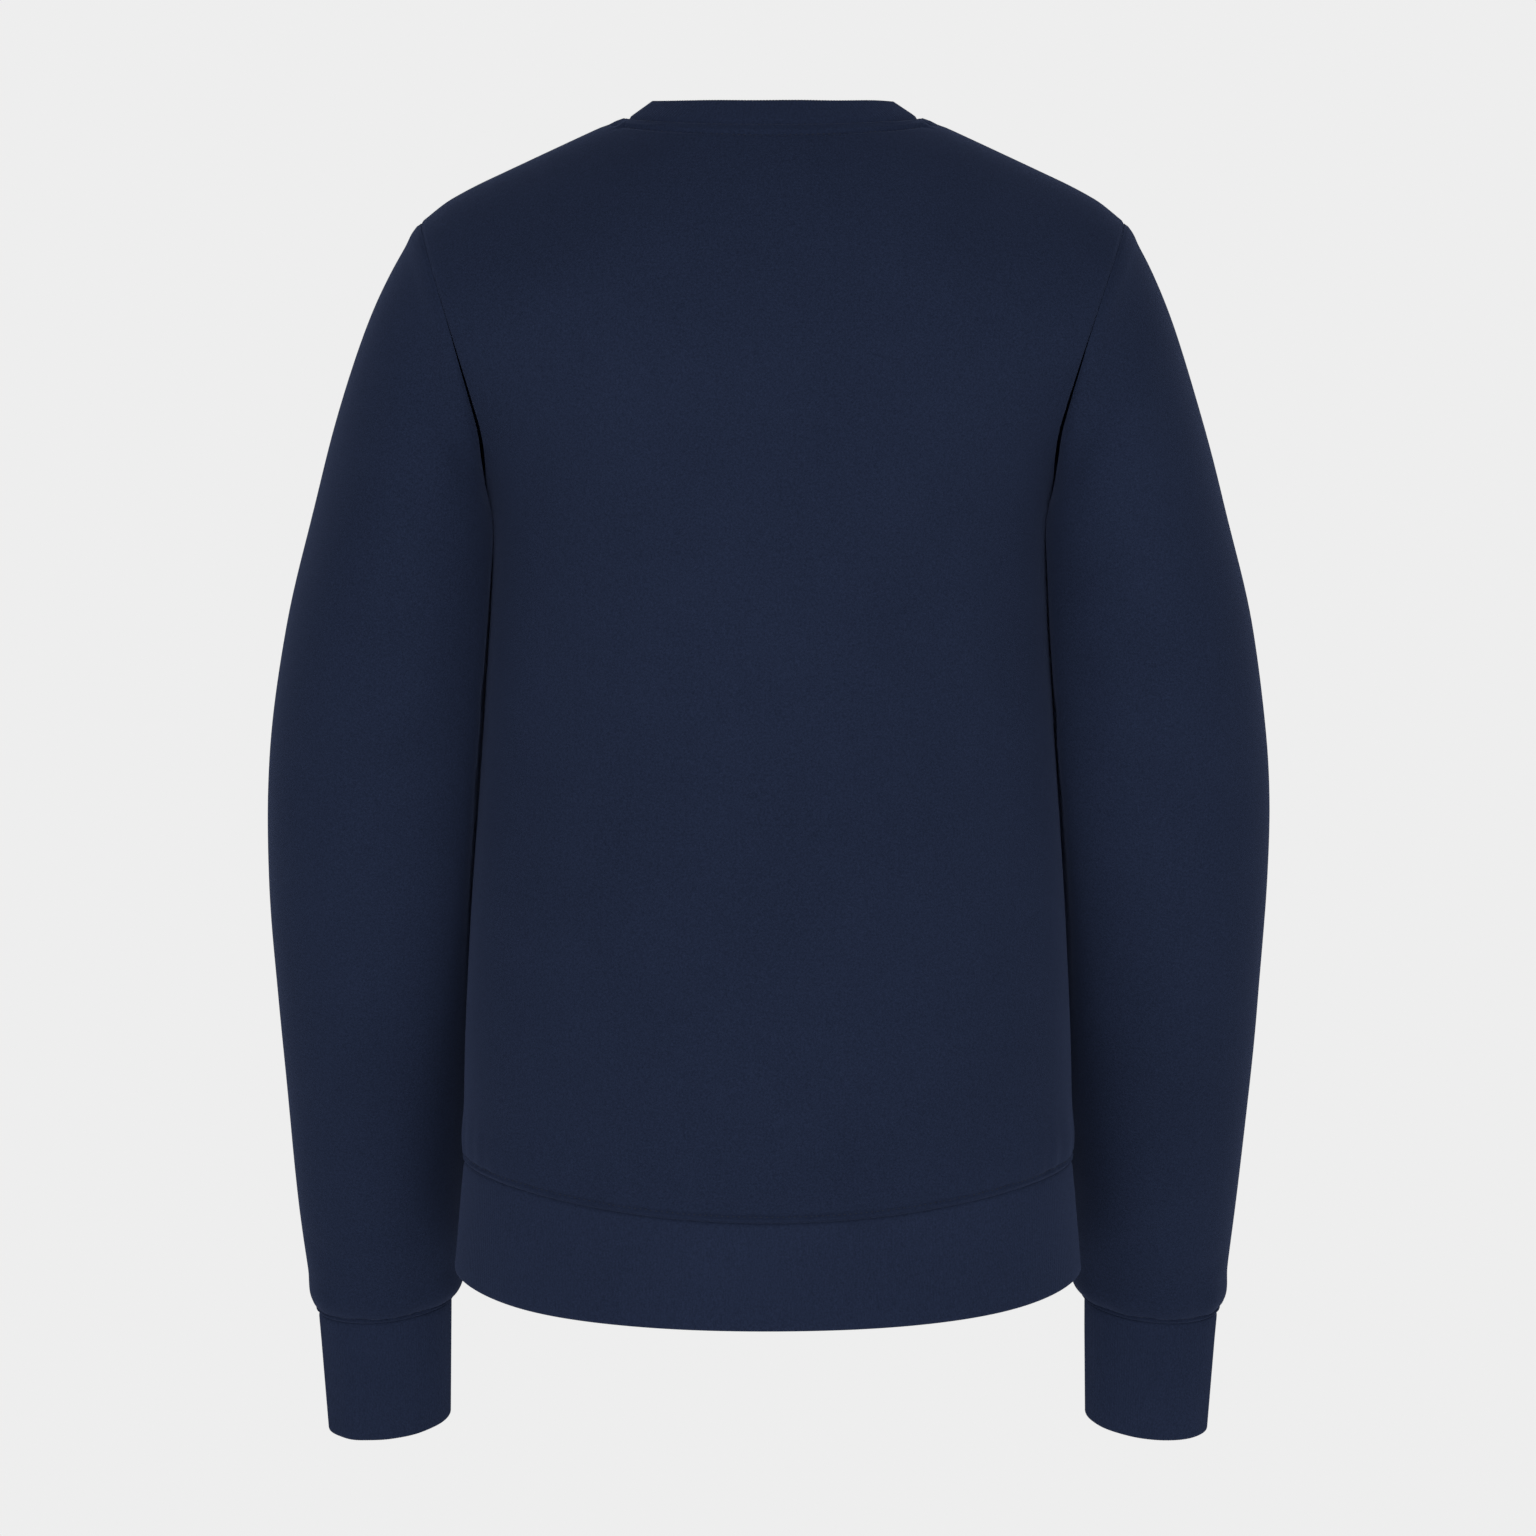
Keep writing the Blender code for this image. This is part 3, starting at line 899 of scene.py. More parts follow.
@dataclass(frozen=True)
class Knit:
    """A matt knitted cloth: its colour, how mottled it is, and the size of its stitches."""

    name: str
    colour: tuple[float, float, float]
    wale: float
    course: float
    relief: float
    mottle: float = 0.16
    speckle: float = 0.62
    roughness: float = 0.93
    shine: float = 0.03
    sheen: float = 0.19
    sheen_roughness: float = 0.45
    sheen_tint: tuple[float, float, float, float] = (0.23, 0.30, 0.56, 1.0)
    fuzz: float = 0.4

    def build(self) -> bpy.types.Material:
        """Makes the material: V-shaped stitches and stray fibres as bump, with mottling and specks on its
        colour, and painted shade that makes the colour a little darker between the stitch loops and lighter
        on them.

        Returns:
            The material.
        """
        material = bpy.data.materials.new(self.name)
        board = NodeBoard(material)
        flat = board.add("UVMap", {"uv_map": "Cut"}).outputs[0]
        around = board.add("TexCoord").outputs["Object"]
        parts = board.add("SeparateXYZ", None, Vector=flat)
        across = board.sum("DIVIDE", parts.outputs[0], self.wale * MM)
        down = board.sum("DIVIDE", parts.outputs[1], self.course * MM)
        leg = board.sum("PINGPONG", across, 0.5)
        slanted = board.sum("ADD", down, board.sum("MULTIPLY", leg, 1.1))
        rows = board.sum("SINE", board.sum("MULTIPLY", slanted, 2 * np.pi))
        columns = board.sum("SINE", board.sum("MULTIPLY", leg, 2 * np.pi))
        loops = board.sum("MULTIPLY", board.sum("ADD", rows, columns), 0.25)
        fibres = board.noise(around, 1500.0, 3.0, 0.7)
        height = board.sum("ADD", loops, board.sum("MULTIPLY", fibres, self.fuzz))
        relief = board.add(
            "Bump", None, Strength=1.0, Distance=self.relief * MM, Height=height
        ).outputs[0]
        cloudy = board.noise(around, 9.0, 4.0, 0.6)
        specks = board.noise(around, 1050.0, 2.0, 0.75)
        shade = board.sum(
            "ADD",
            board.sum("MULTIPLY", board.sum("SUBTRACT", cloudy, 0.5), self.mottle * 2),
            board.sum("MULTIPLY", board.sum("SUBTRACT", specks, 0.5), self.speckle * 2),
        )
        # painted shade: the colour is made up to 4 % darker between the stitch loops and up to 4 % lighter on
        # them, following the stitch relief
        tone_and_relief_shade = board.sum("ADD", board.sum("ADD", shade, 1.0), board.sum("MULTIPLY", loops, 0.08))
        colour = board.add("VectorMath", {"operation": "SCALE"}, n0=self.colour, Scale=tone_and_relief_shade).outputs[0]
        gloss = board.sum("ADD", board.sum("MULTIPLY", fibres, 0.08), self.roughness - 0.04)
        shader = board.add(
            "BsdfPrincipled",
            None,
            Base_Color=colour,
            Roughness=gloss,
            Normal=relief,
            Metallic=0.0,
            Specular_IOR_Level=self.shine,
            Sheen_Weight=self.sheen,
            Sheen_Roughness=self.sheen_roughness,
            Sheen_Tint=self.sheen_tint,
        )
        board.add("OutputMaterial", None, Surface=shader.outputs[0])
        return material


@dataclass(frozen=True)
class Thread:
    """The twisted sewing thread: navy, with its colour darkened to about half the fleece's as painted shade
    of the groove that the stitches lie in.
    """

    name: str = "navy_thread_and_groove_shade"
    # navy thread colour, darkened to about half the fleece's as painted shade of the stitch groove
    colour: tuple[float, float, float] = (0.0072, 0.0108, 0.0240)
    roughness: float = 0.8

    def build(self) -> bpy.types.Material:
        """Makes the material, with the ply as a fine bump and as painted shade on its colour.

        Returns:
            The material.
        """
        material = bpy.data.materials.new(self.name)
        board = NodeBoard(material)
        around = board.add("TexCoord").outputs["Object"]
        ply = board.noise(around, 2600.0, 2.0, 0.6)
        relief = board.add("Bump", None, Strength=0.6, Distance=0.05 * MM, Height=ply).outputs[0]
        # painted shade: the colour follows the ply's bump, lighter where it stands high and darker in its
        # hollows
        tone_and_relief_shade = board.sum("ADD", board.sum("MULTIPLY", ply, 0.5), 0.75)
        colour = board.add("VectorMath", {"operation": "SCALE"}, n0=self.colour, Scale=tone_and_relief_shade).outputs[0]
        shader = board.add(
            "BsdfPrincipled", None, Base_Color=colour, Roughness=self.roughness, Normal=relief, Metallic=0.0
        )
        board.add("OutputMaterial", None, Surface=shader.outputs[0])
        return material


# ---------------------------------------------------------------- the pieces


@dataclass(frozen=True)
class Cut:
    """A piece's flat size before sewing, in metres, and its area where it isn't a rectangle."""

    width: float
    length: float
    area: float | None
    held: str


@dataclass
class Dresser:
    """What every sub-assembly needs: the form and the finishes."""

    body: BodyForm
    fleece: bpy.types.Material
    inside: bpy.types.Material
    rib: bpy.types.Material
    thread: bpy.types.Material

    def dress(self, piece: bpy.types.Object, slot: Slot, node: str | None, cut: Cut | None) -> None:
        """Parents a piece to the root body, hides the CAD node that it stands for, if any, and logs its
        faces.

        Args:
            piece: the piece.
            slot: not used.
            node: the CAD node that it stands for, if it does.
            cut: not used.
        """
        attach(piece, "root")
        if node:
            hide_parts(node)
        LOG.info("%s: %d faces", piece.name, len(piece.data.polygons))


@dataclass(frozen=True)
class PanelDetail:
    """One panel's creases and its flat size."""

    folds: tuple[Fold, ...]
    seed: int
    cut: Cut


BACK_DETAIL = PanelDetail(
    folds=(
        Fold((66, -240), (60, -348), 15, 0.9, 3),
        Fold((44, -196), (38, -240), 11, 0.6, -2),
        Fold((-100, -228), (-108, -330), 17, 1.0, -4),
        Fold((-33, -505), (-30, -552), 14, -0.7, 2),
        Fold((-124, -490), (-118, -545), 13, -0.8, 3),
        Fold((118, -470), (104, -540), 16, -0.6, -5),
        Fold((20, -420), (34, -530), 22, 0.5, 6),
        Fold((-70, -400), (-84, -520), 20, 0.5, -6),
        Fold((136, -215), (92, -265), 12, 0.8, 7),
        Fold((-136, -215), (-94, -272), 12, 0.7, -7),
        Fold((128, -170), (96, -196), 11, -0.5, 5),
        Fold((-128, -176), (-98, -204), 11, -0.5, -5),
    ),
    seed=11,
    cut=Cut(0.470, 0.575, 0.2305, "hung"),
)
FRONT_DETAIL = PanelDetail(
    folds=(
        Fold((58, -220), (50, -340), 17, 0.9, -4),
        Fold((-52, -230), (-58, -330), 15, 0.8, 3),
        Fold((0, -300), (6, -420), 24, 0.5, 5),
        Fold((-104, -400), (-96, -530), 18, -0.6, 4),
        Fold((98, -420), (108, -540), 16, -0.7, -4),
        Fold((136, -212), (86, -262), 13, 0.9, 7),
        Fold((-136, -212), (-88, -256), 13, 0.8, -7),
        Fold((124, -164), (88, -190), 11, -0.6, 5),
        Fold((-124, -168), (-90, -196), 11, -0.6, -5),
        Fold((34, -490), (30, -548), 13, -0.6, 2),
    ),
    seed=23,
    cut=Cut(0.480, 0.575, 0.219, "hung"),
)


@dataclass
class Body:
    """The front and back panels."""

    dresser: Dresser
    collar: CoverSeam = CoverSeam(band=7.0, band_rise=0.9, groove=1.3, pitch=3.0)
    hem: CoverSeam = CoverSeam(band=3.0, band_rise=0.6, groove=1.5)
    thickness: float = 1.5
    columns: int = 171
    rows: int = 201
    seam_sink: float = 0.9
    seam_reach: float = 2.6
    shoulder_lift: float = 1.9
    shoulder_start: tuple[float, float] = (74.0, 92.0)
    shoulder_end: tuple[float, float] = (168.0, 188.0)
    swell: float = 1.1
    stitch_line: float = 3.35
    collar_stitch_lines: tuple[float, float] = (1.9, 7.35)

    def build(self) -> None:
        """Makes both panels and the threads on them."""
        collar_rows, hem_rows = [], []
        for side, detail in ((Side.BACK, BACK_DETAIL), (Side.FRONT, FRONT_DETAIL)):
            collar_row, hem_row = self.build_panel(side, detail)
            collar_rows += collar_row
            hem_rows += hem_row
        dresser = self.dresser
        for name, rows in (("collar_stitches", collar_rows), ("hem_stitches", hem_rows)):
            dresser.dress(Stitches().build(name, rows, dresser.thread), Slot.FLEECE, None, None)

    def grid(self, side: Side) -> np.ndarray:
        """The panel's bare form, with rows crowded at its top and hem and columns at its sides."""
        column, row = np.meshgrid(
            graded(-2, 2, self.columns, 0.7), graded(0, 2, self.rows, 0.8)
        )
        return self.dresser.body.panel_point(side, column, row)

    def neckline(self) -> np.ndarray:
        """Points round the neck seam, about a millimetre apart."""
        return self.dresser.body.all_round(np.linspace(0, 4, 480), 1, 0.0)

    def build_panel(self, side: Side, detail: PanelDetail) -> tuple[list, list]:
        """Makes one panel: the form, raised along its normals by the folds, the seams and the unevenness.

        Args:
            side: the panel.
            detail: its creases and cut.

        Returns:
            The rows of threads below the neck seam, and those above the hem seam.
        """
        points = self.grid(side)
        normals = grid_normals(points, side.value, closed=False)
        across, down = lengths_along(points, 1), lengths_along(points, 0)
        middle = across[:, self.columns // 2, None]
        to_side = np.minimum(across, across[:, -1:] - across)
        to_hem = down[-1:] - down
        to_top = np.minimum(down, 200)
        to_neck, neck_place = nearest_on(points, self.neckline(), 25.0)
        x, z = points[..., 0], points[..., 2]
        hem_place = (across - middle)[-1:] + np.zeros_like(x)
        loose = eased(to_side, 2, 30) * eased(to_top, 4, 45) * eased(to_hem, 4, 22)
        relief = Unevenness(detail.seed).relief(x, z) * loose
        for fold in detail.folds:
            relief += fold.relief(x, z) * eased(to_side, 0, 14) * eased(to_hem, 3, 14)
        for distance in (to_side, to_top, to_hem):
            relief -= self.seam_sink * (1 - eased(distance, 0, self.seam_reach))
        shoulder = eased(np.abs(x), *self.shoulder_start) * (1 - eased(np.abs(x), *self.shoulder_end))
        relief += self.shoulder_lift * shoulder * bump(to_top, 45)
        relief += self.collar.relief(to_neck, neck_place)
        relief += self.hem.relief(to_hem, hem_place)
        relief += gathers(hem_place, to_hem, detail.seed, 440.0)
        relief += self.swell * bump(to_hem - 13, 11)
        raised = points + normals * relief[..., None]
        shell = Shell(
            name=f"{side.name.lower()}_panel",
            points=raised,
            across=across - middle,
            down=-to_hem,
            closed=False,
            outwards=side.value,
        )
        dresser = self.dresser
        piece = shell.build(Hand.LEFT, [dresser.fleece, dresser.inside])
        thicken(piece, self.thickness, 1)
        dresser.dress(piece, Slot.FLEECE, side.name.lower(), detail.cut)
        neck_lines = [level_line(to_neck, level, raised, normals) for level in self.collar_stitch_lines]
        hem_lines = [level_line(to_hem[::-1], self.stitch_line, raised[::-1], normals[::-1])]
        return (
            [spaced_out(*line, self.collar.pitch) for line in neck_lines],
            [spaced_out(*line, self.hem.pitch) for line in hem_lines],
        )


SLEEVE_FOLDS = (
    Fold((0.36, -185), (0.44, -345), 39.6, 4.4, 0.0),
    Fold((0.02, -352), (0.78, -344), 17.0, -2.4, 7.0),
    Fold((0.30, -92), (0.42, -205), 9.1, 1.1, 1.6),
    Fold((0.62, -120), (0.66, -215), 8.2, -0.9, 1.6),
    Fold((0.34, -235), (0.40, -312), 14.8, 1.3, 1.6),
    Fold((0.62, -250), (0.60, -330), 9.9, 0.8, 0.0),
    Fold((0.16, -352), (0.62, -338), 9.0, -0.9, 3.0),
    Fold((0.20, -385), (0.55, -398), 10.0, 0.7, -3.0),
    Fold((0.78, -300), (1.22, -330), 7.0, -1.3, 3.0),
    Fold((0.80, -345), (1.30, -362), 8.0, -1.1, -3.0),
    Fold((1.20, -322), (1.62, -352), 7.5, -1.5, 3.0),
    Fold((1.24, -372), (1.66, -388), 8.0, -1.3, -4.0),
    Fold((1.30, -420), (1.68, -432), 9.0, -0.8, 3.0),
    Fold((0.20, -545), (0.56, -560), 9.0, -0.5, 3.0),
    Fold((0.36, -590), (0.72, -604), 7.0, -0.8, 3.0),
    Fold((0.10, -604), (0.50, -618), 6.0, -0.7, -2.0),
    Fold((1.20, -585), (1.62, -600), 7.0, -0.9, 3.0),
    Fold((1.40, -612), (1.80, -622), 6.0, -0.7, -2.0),
)


@dataclass
class Sleeves:
    """The two set-in sleeves."""

    dresser: Dresser
    form: SleeveForm
    cuff_seam: CoverSeam = CoverSeam(band=3.0, band_rise=0.6, groove=1.3)
    thickness: float = 1.5
    columns: int = 128
    rows: int = 210
    seam_sink: float = 0.8
    seam_reach: float = 2.6
    swell: float = 1.6
    stitch_line: float = 3.35
    turn_length: float = 165.0
    right_lower: float = 9.0
    right_softer: float = 0.85
    cut: Cut = Cut(0.420, 0.600, 0.1715, "hung")

    def build(self) -> None:
        """Makes both sleeves."""
        for hand in Hand:
            self.build_sleeve(hand)

    def grid(self) -> tuple[np.ndarray, np.ndarray]:
        """The sleeve's bare form, starting and ending at the seam under the arm.

        Returns:
            The points, and the turn at each column.
        """
        turns = 1 + graded(0, 2, self.columns + 1, 0.6)[:-1]
        rows = graded(0, len(self.form.rings), self.rows, 0.75)
        turn, along = np.meshgrid(turns, rows)
        return self.form.point(turn, along), turn % 2

    def build_sleeve(self, hand: Hand) -> None:
        """Makes one sleeve: the form, raised along its normals by the folds, seams and unevenness.

        Args:
            hand: the sleeve.
        """
        points, turn = self.grid()
        normals = grid_normals(points, -1, closed=True)
        joined = np.concatenate([points, points[:, :1]], axis=1)
        across = lengths_along(joined, 1)
        girth = across[:, -1:]
        down = lengths_along(points, 0)
        to_seam = np.minimum(across, girth - across)[:, :-1]
        to_cuff = down[-1:] - down
        place = across[-1:, :-1] + np.zeros_like(down)
        z = points[..., 2]
        rough = 41 if hand is Hand.LEFT else 57
        loose = eased(to_seam, 1, 18) * eased(down, 4, 30) * eased(to_cuff, 4, 20)
        around = across[:, :-1] / girth * 300
        relief = Unevenness(rough).relief(around, z) * loose
        for fold in SLEEVE_FOLDS:
            relief += self.fold_relief(fold, turn, z, hand) * loose
        relief -= self.seam_sink * (1 - eased(down, 0, self.seam_reach))
        relief -= self.seam_sink * (1 - eased(to_cuff, 0, self.seam_reach))
        relief -= 0.7 * bump(to_seam, 1.1)
        relief += 0.7 * bump(down - 7, 5)
        relief += self.cuff_seam.relief(to_cuff, place)
        relief += gathers(place, to_cuff, rough, girth[-1, 0]) * 1.3
        relief += self.swell * bump(to_cuff - 11, 9)
        raised = points + normals * relief[..., None]
        shell = Shell(
            name=f"sleeve_{hand.name.lower()}_shell",
            points=raised,
            across=across - girth / 2,
            down=down,
            closed=True,
            outwards=-1,
        )
        dresser = self.dresser
        piece = shell.build(hand, [dresser.fleece, dresser.inside])
        thicken(piece, self.thickness, 1)
        dresser.dress(piece, Slot.FLEECE, f"sleeve_{hand.name.lower()}", self.cut)
        mirror = (hand.value, 1, 1)
        line, facing = level_line(to_cuff[::-1], self.stitch_line, raised[::-1], normals[::-1])
        row = spaced_out(line * mirror, facing * mirror, self.cuff_seam.pitch)
        name = f"cuff_stitches_{hand.name.lower()}"
        dresser.dress(Stitches().build(name, [row], dresser.thread), Slot.FLEECE, None, None)

    def fold_relief(self, fold: Fold, turn: np.ndarray, z: np.ndarray, hand: Hand) -> np.ndarray:
        """The rise of a fold whose ends are given by turn and height, with the turn stretched to a length.
        The right sleeve's folds sit a little lower and softer than the left's.

        Args:
            fold: the fold.
            turn: the turn at each place.
            z: its height.
            hand: the sleeve.

        Returns:
            The rise at each place.
        """
        lower, softer = (0, 1.0) if hand is Hand.LEFT else (self.right_lower, self.right_softer)
        placed = replace(
            fold,
            start=(fold.start[0] * self.turn_length, fold.start[1] - lower),
            end=(fold.end[0] * self.turn_length, fold.end[1] - lower),
            rise=fold.rise * softer,
        )
        return placed.relief(turn * self.turn_length, z)


@dataclass(frozen=True)
class RibStyle:
    """How a rib is knitted and folded double."""

    height: float
    thickness: float
    pitch: float
    rise: float
    cut: Cut
    steps_per_rib: int = 4
    rows_down: int = 14
    edge_rows: int = 8
    waviness: float = 0.22
    tuck: float = 0.9
    tuck_reach: float = 3.0


@dataclass(frozen=True)
class FoldedLayers:
    """The rows of a rib folded double: down the outer layer, round the fold and up the inner layer.

    For each row: its share of the way down, how far it lies inside the outer layer, and which way it faces,
    from 1 outwards to -1 inwards.
    """

    down: np.ndarray
    sunk: np.ndarray
    facing: np.ndarray

    @classmethod
    def of(cls, style: RibStyle) -> "FoldedLayers":
        """Lays out the rows, with the fold as a half circle.

        Args:
            style: the rib's sizes.

        Returns:
            The rows.
        """
        half = style.thickness / 2
        down = graded(0, 1 - half / style.height, style.rows_down, 0.6)
        bend = np.linspace(0, np.pi, style.edge_rows + 2)[1:-1]
        flat = np.ones(len(down))
        return cls(
            down=np.concatenate([down, down[-1] + np.sin(bend) * half / style.height, down[::-1]]),
            sunk=np.concatenate([0 * flat, half * (1 - np.cos(bend)), 2 * half * flat]),
            facing=np.concatenate([flat, np.cos(bend), -flat]),
        )


@dataclass
class Rib:
    """A band of rib knit folded double and sewn on by its two raw edges."""

    name: str
    node: str
    style: RibStyle
    outer: Surface
    whole_turn: float
    outwards: int
    seed: int

    def places(self) -> tuple[np.ndarray, np.ndarray, float, int]:
        """Spaces the columns evenly round the seam, a few to each rib.

        Returns:
            Each column's turn and its place along the seam, the seam's length and the number of ribs.
        """
        turns = np.linspace(0, self.whole_turn, 2000)
        girth = lengths_along(self.outer(turns[None], np.zeros((1, len(turns)))), 1)[0]
        ribs = round(girth[-1] / self.style.pitch)
        count = ribs * self.style.steps_per_rib
        place = np.arange(count) / count * girth[-1]
        return np.interp(place, girth, turns), place, girth[-1], ribs

    def relief(self, layers: FoldedLayers, place: np.ndarray, girth: float, ribs: int) -> np.ndarray:
        """The rise over the outer layer: ribs as cosine waves that fade at the seam and the fold, a slow
        waviness, and a tuck at the seam.

        Args:
            layers: the rows.
            place: each column's place along the seam.
            girth: the seam's length.
            ribs: how many ribs there are.

        Returns:
            The rise at each row and column.
        """
        style = self.style
        from_seam = layers.down * style.height
        phases = np.random.default_rng(self.seed).uniform(0, 6, (9, 1))
        slow = np.sin(2 * np.pi * place / girth * np.arange(3, 12)[:, None] + phases).sum(axis=0) / 3
        swell = style.waviness * slow * eased(from_seam, 2, 20)[:, None]
        fade = eased(from_seam, 0.3, 3.0) * layers.facing
        waves = np.cos(2 * np.pi * ribs * place / girth) * fade[:, None]
        tuck = style.tuck * (1 - eased(from_seam, 0, style.tuck_reach)) * np.clip(layers.facing, 0, 1)
        return style.rise * waves + swell - (tuck + layers.sunk)[:, None]

    def build(self, dresser: Dresser, hand: Hand = Hand.LEFT) -> None:
        """Makes the rib, by raising the outer layer's form along its normals.

        Args:
            dresser: the form and finishes.
            hand: RIGHT mirrors it.
        """
        turn, place, girth, ribs = self.places()
        layers = FoldedLayers.of(self.style)
        turns, downs = np.meshgrid(turn, layers.down)
        facing = surface_normals(self.outer, turns, np.clip(downs, 0, 1), self.outwards)
        relief = self.relief(layers, place, girth, ribs)
        points = self.outer(turns, downs) + facing * relief[..., None]
        across = np.append(place, girth)[None] + np.zeros((len(layers.down) + 1, 1))
        length = lengths_along(points, 0)
        length = np.concatenate([length, length[-1:] + self.style.thickness])
        shell = Shell(self.name, points, across, length, True, self.outwards, folded=True)
        piece = shell.build(hand, [dresser.rib])
        dresser.dress(piece, Slot.RIB, self.node, self.style.cut)


@dataclass
class RibForms:
    """Where the neck rib and the hem rib lie on the body's form."""

    body: BodyForm
    hem_side_height: float = 59.5
    hem_back_height: float = 56.4
    hem_front_height: float = 59.5
    hem_fullness: float = 24.0
    hem_rounding: float = 0.15
    hem_flare: float = 1.2
    hem_side_flare: float = 4.0
    neck_height: float = 17.5
    back_lean: float = 44.0
    side_lean: float = 55.0
    front_lean: float = 38.0

    def neck(self, turn: np.ndarray, along: np.ndarray) -> np.ndarray:
        """A point on the neck rib: the neck seam, then up and inwards at a lean that changes round it.

        Args:
            turn: from 0 at the left over the back to 2, and over the front to 4.
            along: 0 at the seam and 1 at the folded edge.

        Returns:
            The points.
        """
        seam = self.body.all_round(turn, 1, 0.0)
        inwards = -seam * (1, 1, 0)
        inwards /= np.linalg.norm(inwards, axis=-1, keepdims=True)
        middle = np.where(turn % 4 <= 2, self.back_lean, self.front_lean)
        to_middle = np.sin(np.pi / 2 * turn) ** 2
        lean = np.radians(self.side_lean + (middle - self.side_lean) * to_middle)[..., None]
        return seam + self.neck_height * along[..., None] * (inwards * np.sin(lean) + UP * np.cos(lean))

    def hem(self, turn: np.ndarray, along: np.ndarray) -> np.ndarray:
        """A point on the hem rib: the hem seam, then down and slightly outwards. The rib is tallest between
        the sides and the middle, and stands out most at the sides.

        Args:
            turn: from 0 at the left over the back to 4, and over the front to 8.
            along: 0 at the seam and 1 at the folded edge.

        Returns:
            The points.
        """
        body = self.body
        seam = body.all_round(turn, 2, 2.0)
        outwards = seam * (1, 1, 0)
        outwards /= np.linalg.norm(outwards, axis=-1, keepdims=True)
        back = turn % 8 <= 4
        drop = np.where(back, body.hem_back_drop, body.hem_front_drop)
        lowness = np.clip((body.hem_side_height - seam[..., 2]) / drop, 0, 1)
        middle = np.where(back, self.hem_back_height, self.hem_front_height)
        soft = self.hem_rounding
        fall = (np.sqrt(lowness + soft**2) - soft) / (np.hypot(1, soft) - soft)
        height = self.hem_side_height + (middle - self.hem_side_height) * lowness
        height = height + self.hem_fullness * (fall - lowness)
        flare = self.hem_flare + self.hem_side_flare * (1 - lowness) ** 8
        return seam + along[..., None] * (flare[..., None] * outwards - height[..., None] * UP)


@dataclass
class Ribs:
    """The neck rib, the hem rib and the cuffs."""

    dresser: Dresser
    sleeve: SleeveForm
    neck_style: RibStyle = RibStyle(17.5, 2.8, 2.1, 0.12, Cut(0.430, 0.0185, None, "stretched"), rows_down=9)
    hem_style: RibStyle = RibStyle(58.5, 2.8, 1.9, 0.09, Cut(0.820, 0.060, None, "stretched"))
    cuff_style: RibStyle = RibStyle(69.0, 2.8, 1.45, 0.12, Cut(0.175, 0.070, None, "stretched"), rows_down=18)

    def build(self) -> None:
        """Makes the four ribs."""
        forms = RibForms(self.dresser.body)
        Rib("neck_rib_band", "neck_rib", self.neck_style, forms.neck, 4.0, 1, 3).build(self.dresser)
        Rib("hem_rib_band", "hem_rib", self.hem_style, forms.hem, 8.0, -1, 5).build(self.dresser)
        for hand in Hand:
            name = f"cuff_{hand.name.lower()}"
            seed = 7 if hand is Hand.LEFT else 9
            cuff = Rib(f"{name}_band", name, self.cuff_style, self.sleeve.cuff_point, 2.0, -1, seed)
            cuff.build(self.dresser, hand)


# ---------------------------------------------------------------- the studio


@dataclass(frozen=True)
class Softbox:
    """A large soft light that looks at the middle of the garment."""

    name: str
    place: tuple[float, float, float]
    size: float
    power: float

    def build(self) -> None:
        """Makes the light."""
        data = bpy.data.lights.new(self.name, "AREA")
        data.shape, data.size, data.energy = "DISK", self.size, self.power
        light = bpy.data.objects.new(self.name, data)
        light.location = self.place
        aim = np.array((0.0, 0.0, -0.34)) - np.array(self.place)
        light.rotation_mode = "QUATERNION"
        light.rotation_quaternion = Vector(aim).to_track_quat("-Z", "Y")
        bpy.context.scene.collection.objects.link(light)


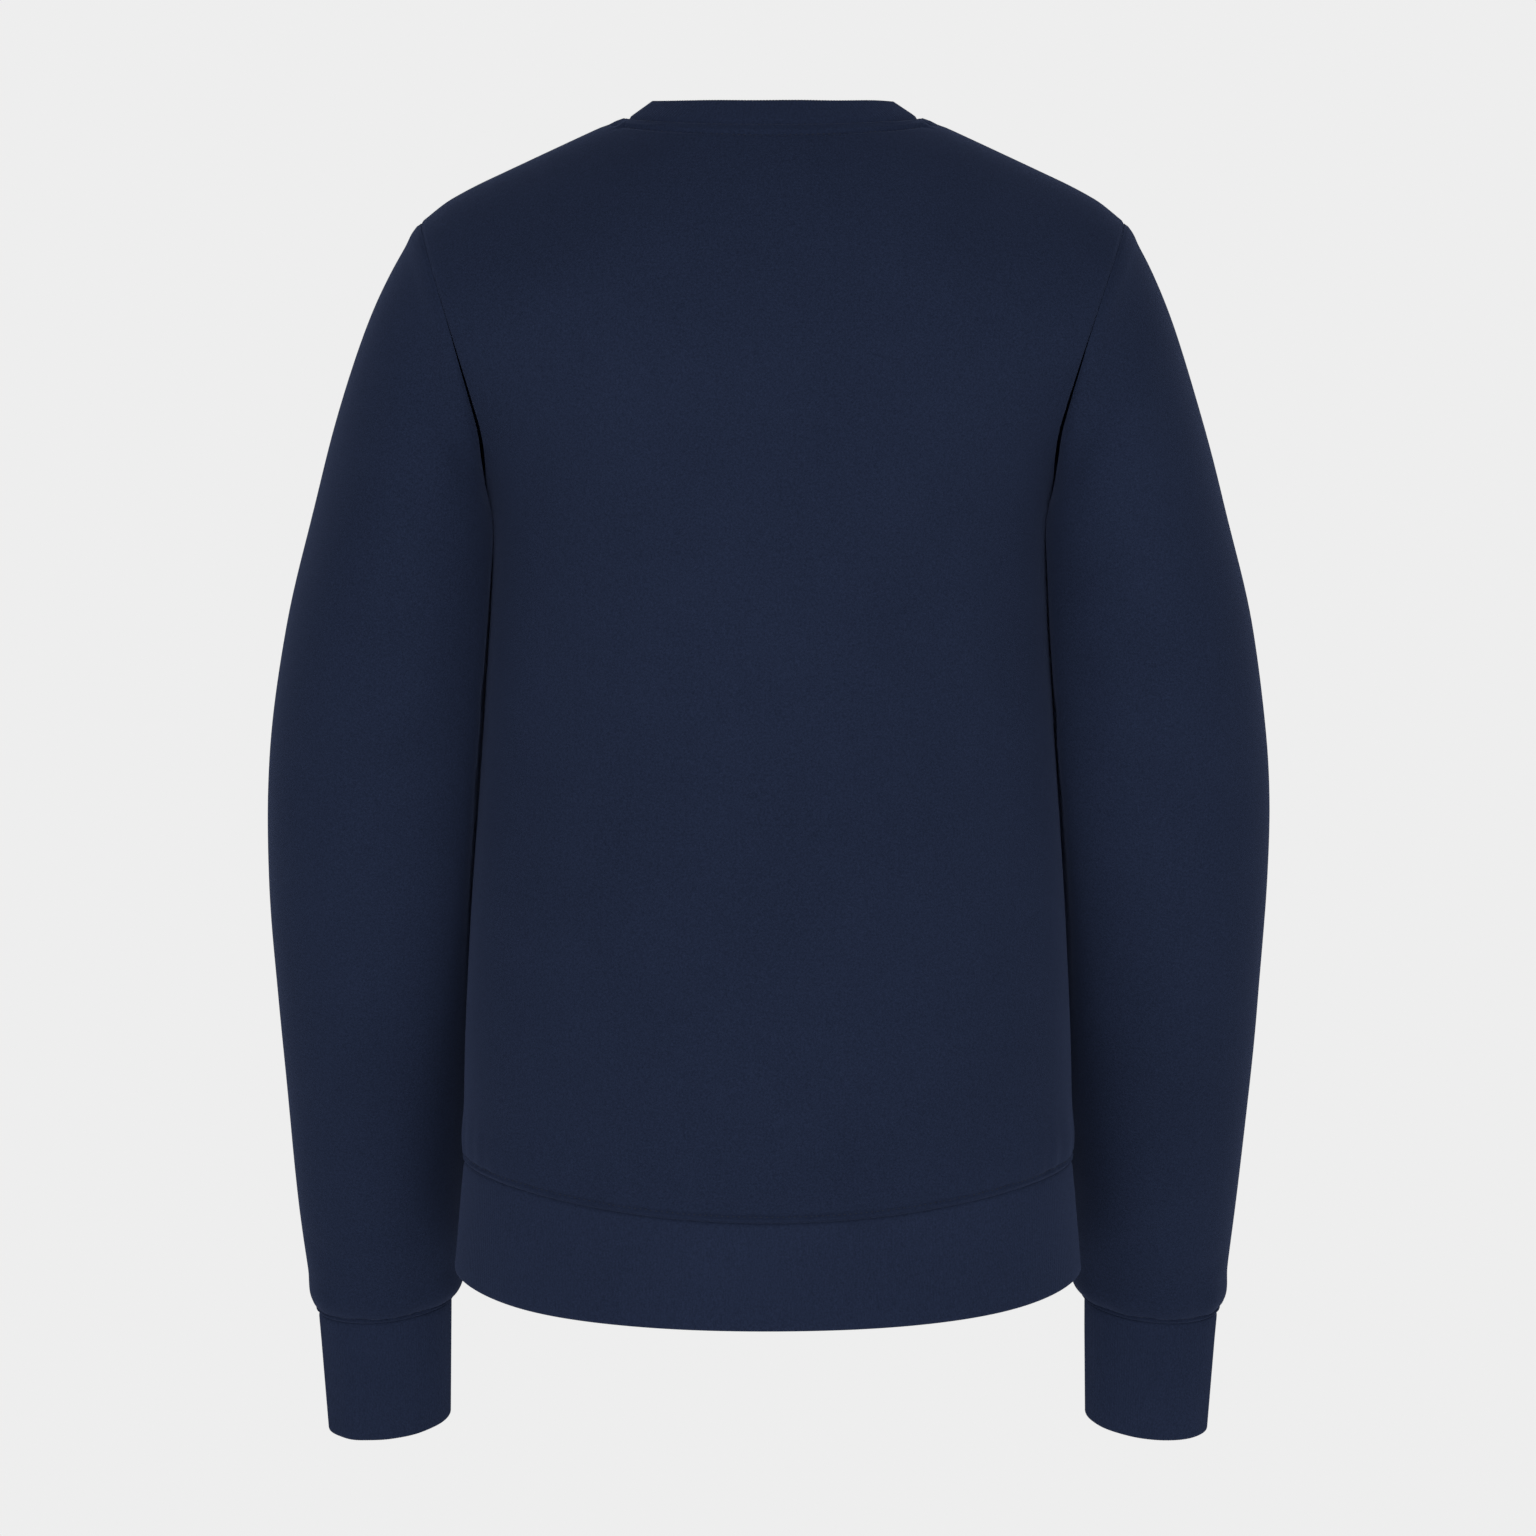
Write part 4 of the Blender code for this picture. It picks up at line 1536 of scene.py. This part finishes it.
@dataclass(frozen=True)
class Studio:
    """A pale room with soft light, and the camera behind the garment, slightly above its middle."""

    paper: float = 0.855
    fill: float = 0.60
    top_falloff: float = 0.8
    floor_fill: float = 0.56
    distance: float = 3.954
    tilt: float = 4.894
    aim_height: float = -0.3435
    lens: float = 174.4
    floor_height: float = -1.6
    floor_reach: float = 12.0
    lights: tuple[Softbox, ...] = (
        Softbox("middle", (0.0, 4.4, 0.55), 1.2, 47.0),
        Softbox("left", (1.3, 3.4, 0.3), 1.8, 14.0),
        Softbox("right", (-1.3, 3.4, 0.25), 1.8, 13.5),
    )

    def build(self) -> None:
        """Makes the room, lights and camera."""
        self.build_world()
        self.build_floor()
        for light in self.lights:
            light.build()
        self.build_camera()

    def build_world(self) -> None:
        """An even pale surround, whose light on the garment falls as 1 - falloff * z towards the top."""
        world = bpy.data.worlds.new("studio")
        board = NodeBoard(world)
        generated = board.add("TexCoord").outputs["Generated"]
        upward = board.sum("MAXIMUM", board.add("SeparateXYZ", None, Vector=generated).outputs[2], 0.0)
        power = board.sum("MULTIPLY_ADD", upward, -self.top_falloff * self.fill, self.fill)
        white = (1.0, 1.0, 1.0, 1.0)
        lit = board.add("Background", None, Color=white, Strength=power).outputs[0]
        seen = board.add("Background", None, Color=white, Strength=self.paper).outputs[0]
        by_camera = board.add("LightPath").outputs["Is Camera Ray"]
        both = board.add("MixShader", None, n0=by_camera, n1=lit, n2=seen).outputs[0]
        board.add("OutputWorld", None, Surface=both)
        bpy.context.scene.world = world

    def build_floor(self) -> None:
        """A wide pale floor, well below the garment."""
        material = bpy.data.materials.new("studio_floor")
        board = NodeBoard(material)
        seen = board.add("LightPath").outputs["Is Camera Ray"]
        strength = board.sum("MULTIPLY_ADD", seen, self.paper - self.floor_fill, self.floor_fill)
        glow = board.add("Emission", None, Strength=strength)
        board.add("OutputMaterial", None, Surface=glow.outputs[0])
        corners = np.array([(-1, -1, 0), (1, -1, 0), (1, 1, 0), (-1, 1, 0)]) * self.floor_reach
        corners = corners + (0, 0, self.floor_height)
        floor = make_mesh("studio_floor", corners, np.array([[0, 1, 2, 3]]), [material])

    def build_camera(self) -> None:
        """The camera, behind the garment and tilted down."""
        tilt = radians(self.tilt)
        data = bpy.data.cameras.new("camera")
        data.sensor_width, data.lens = 36.0, self.lens
        data.clip_start, data.clip_end = 0.1, 60.0
        camera = bpy.data.objects.new("camera", data)
        camera.location = (0.0, self.distance * cos(tilt), self.aim_height + self.distance * sin(tilt))
        camera.rotation_euler = (radians(90) - tilt, 0.0, radians(180))
        bpy.context.scene.collection.objects.link(camera)
        bpy.context.scene.camera = camera
        bpy.context.scene.view_settings.view_transform = "Standard"
        bpy.context.scene.view_settings.look = "None"


def main() -> None:
    """Builds the garment and the studio."""
    logging.basicConfig(level=logging.INFO, format="%(name)s: %(message)s")
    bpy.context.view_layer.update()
    body = BodyForm()
    dresser = Dresser(
        body=body,
        fleece=Knit("fleece_face", (0.0150, 0.0220, 0.0478), 1.15, 0.95, 0.10).build(),
        inside=Knit("fleece_inside", (0.0190, 0.0270, 0.0560), 1.6, 1.6, 0.25, fuzz=1.2).build(),
        rib=Knit("rib_knit", (0.0166, 0.0242, 0.0525), 1.0, 0.9, 0.08).build(),
        thread=Thread().build(),
    )
    sleeve = SleeveForm(body)
    Body(dresser).build()
    Sleeves(dresser, sleeve).build()
    Ribs(dresser, sleeve).build()
    Studio().build()


if __name__ == "__main__":
    main()
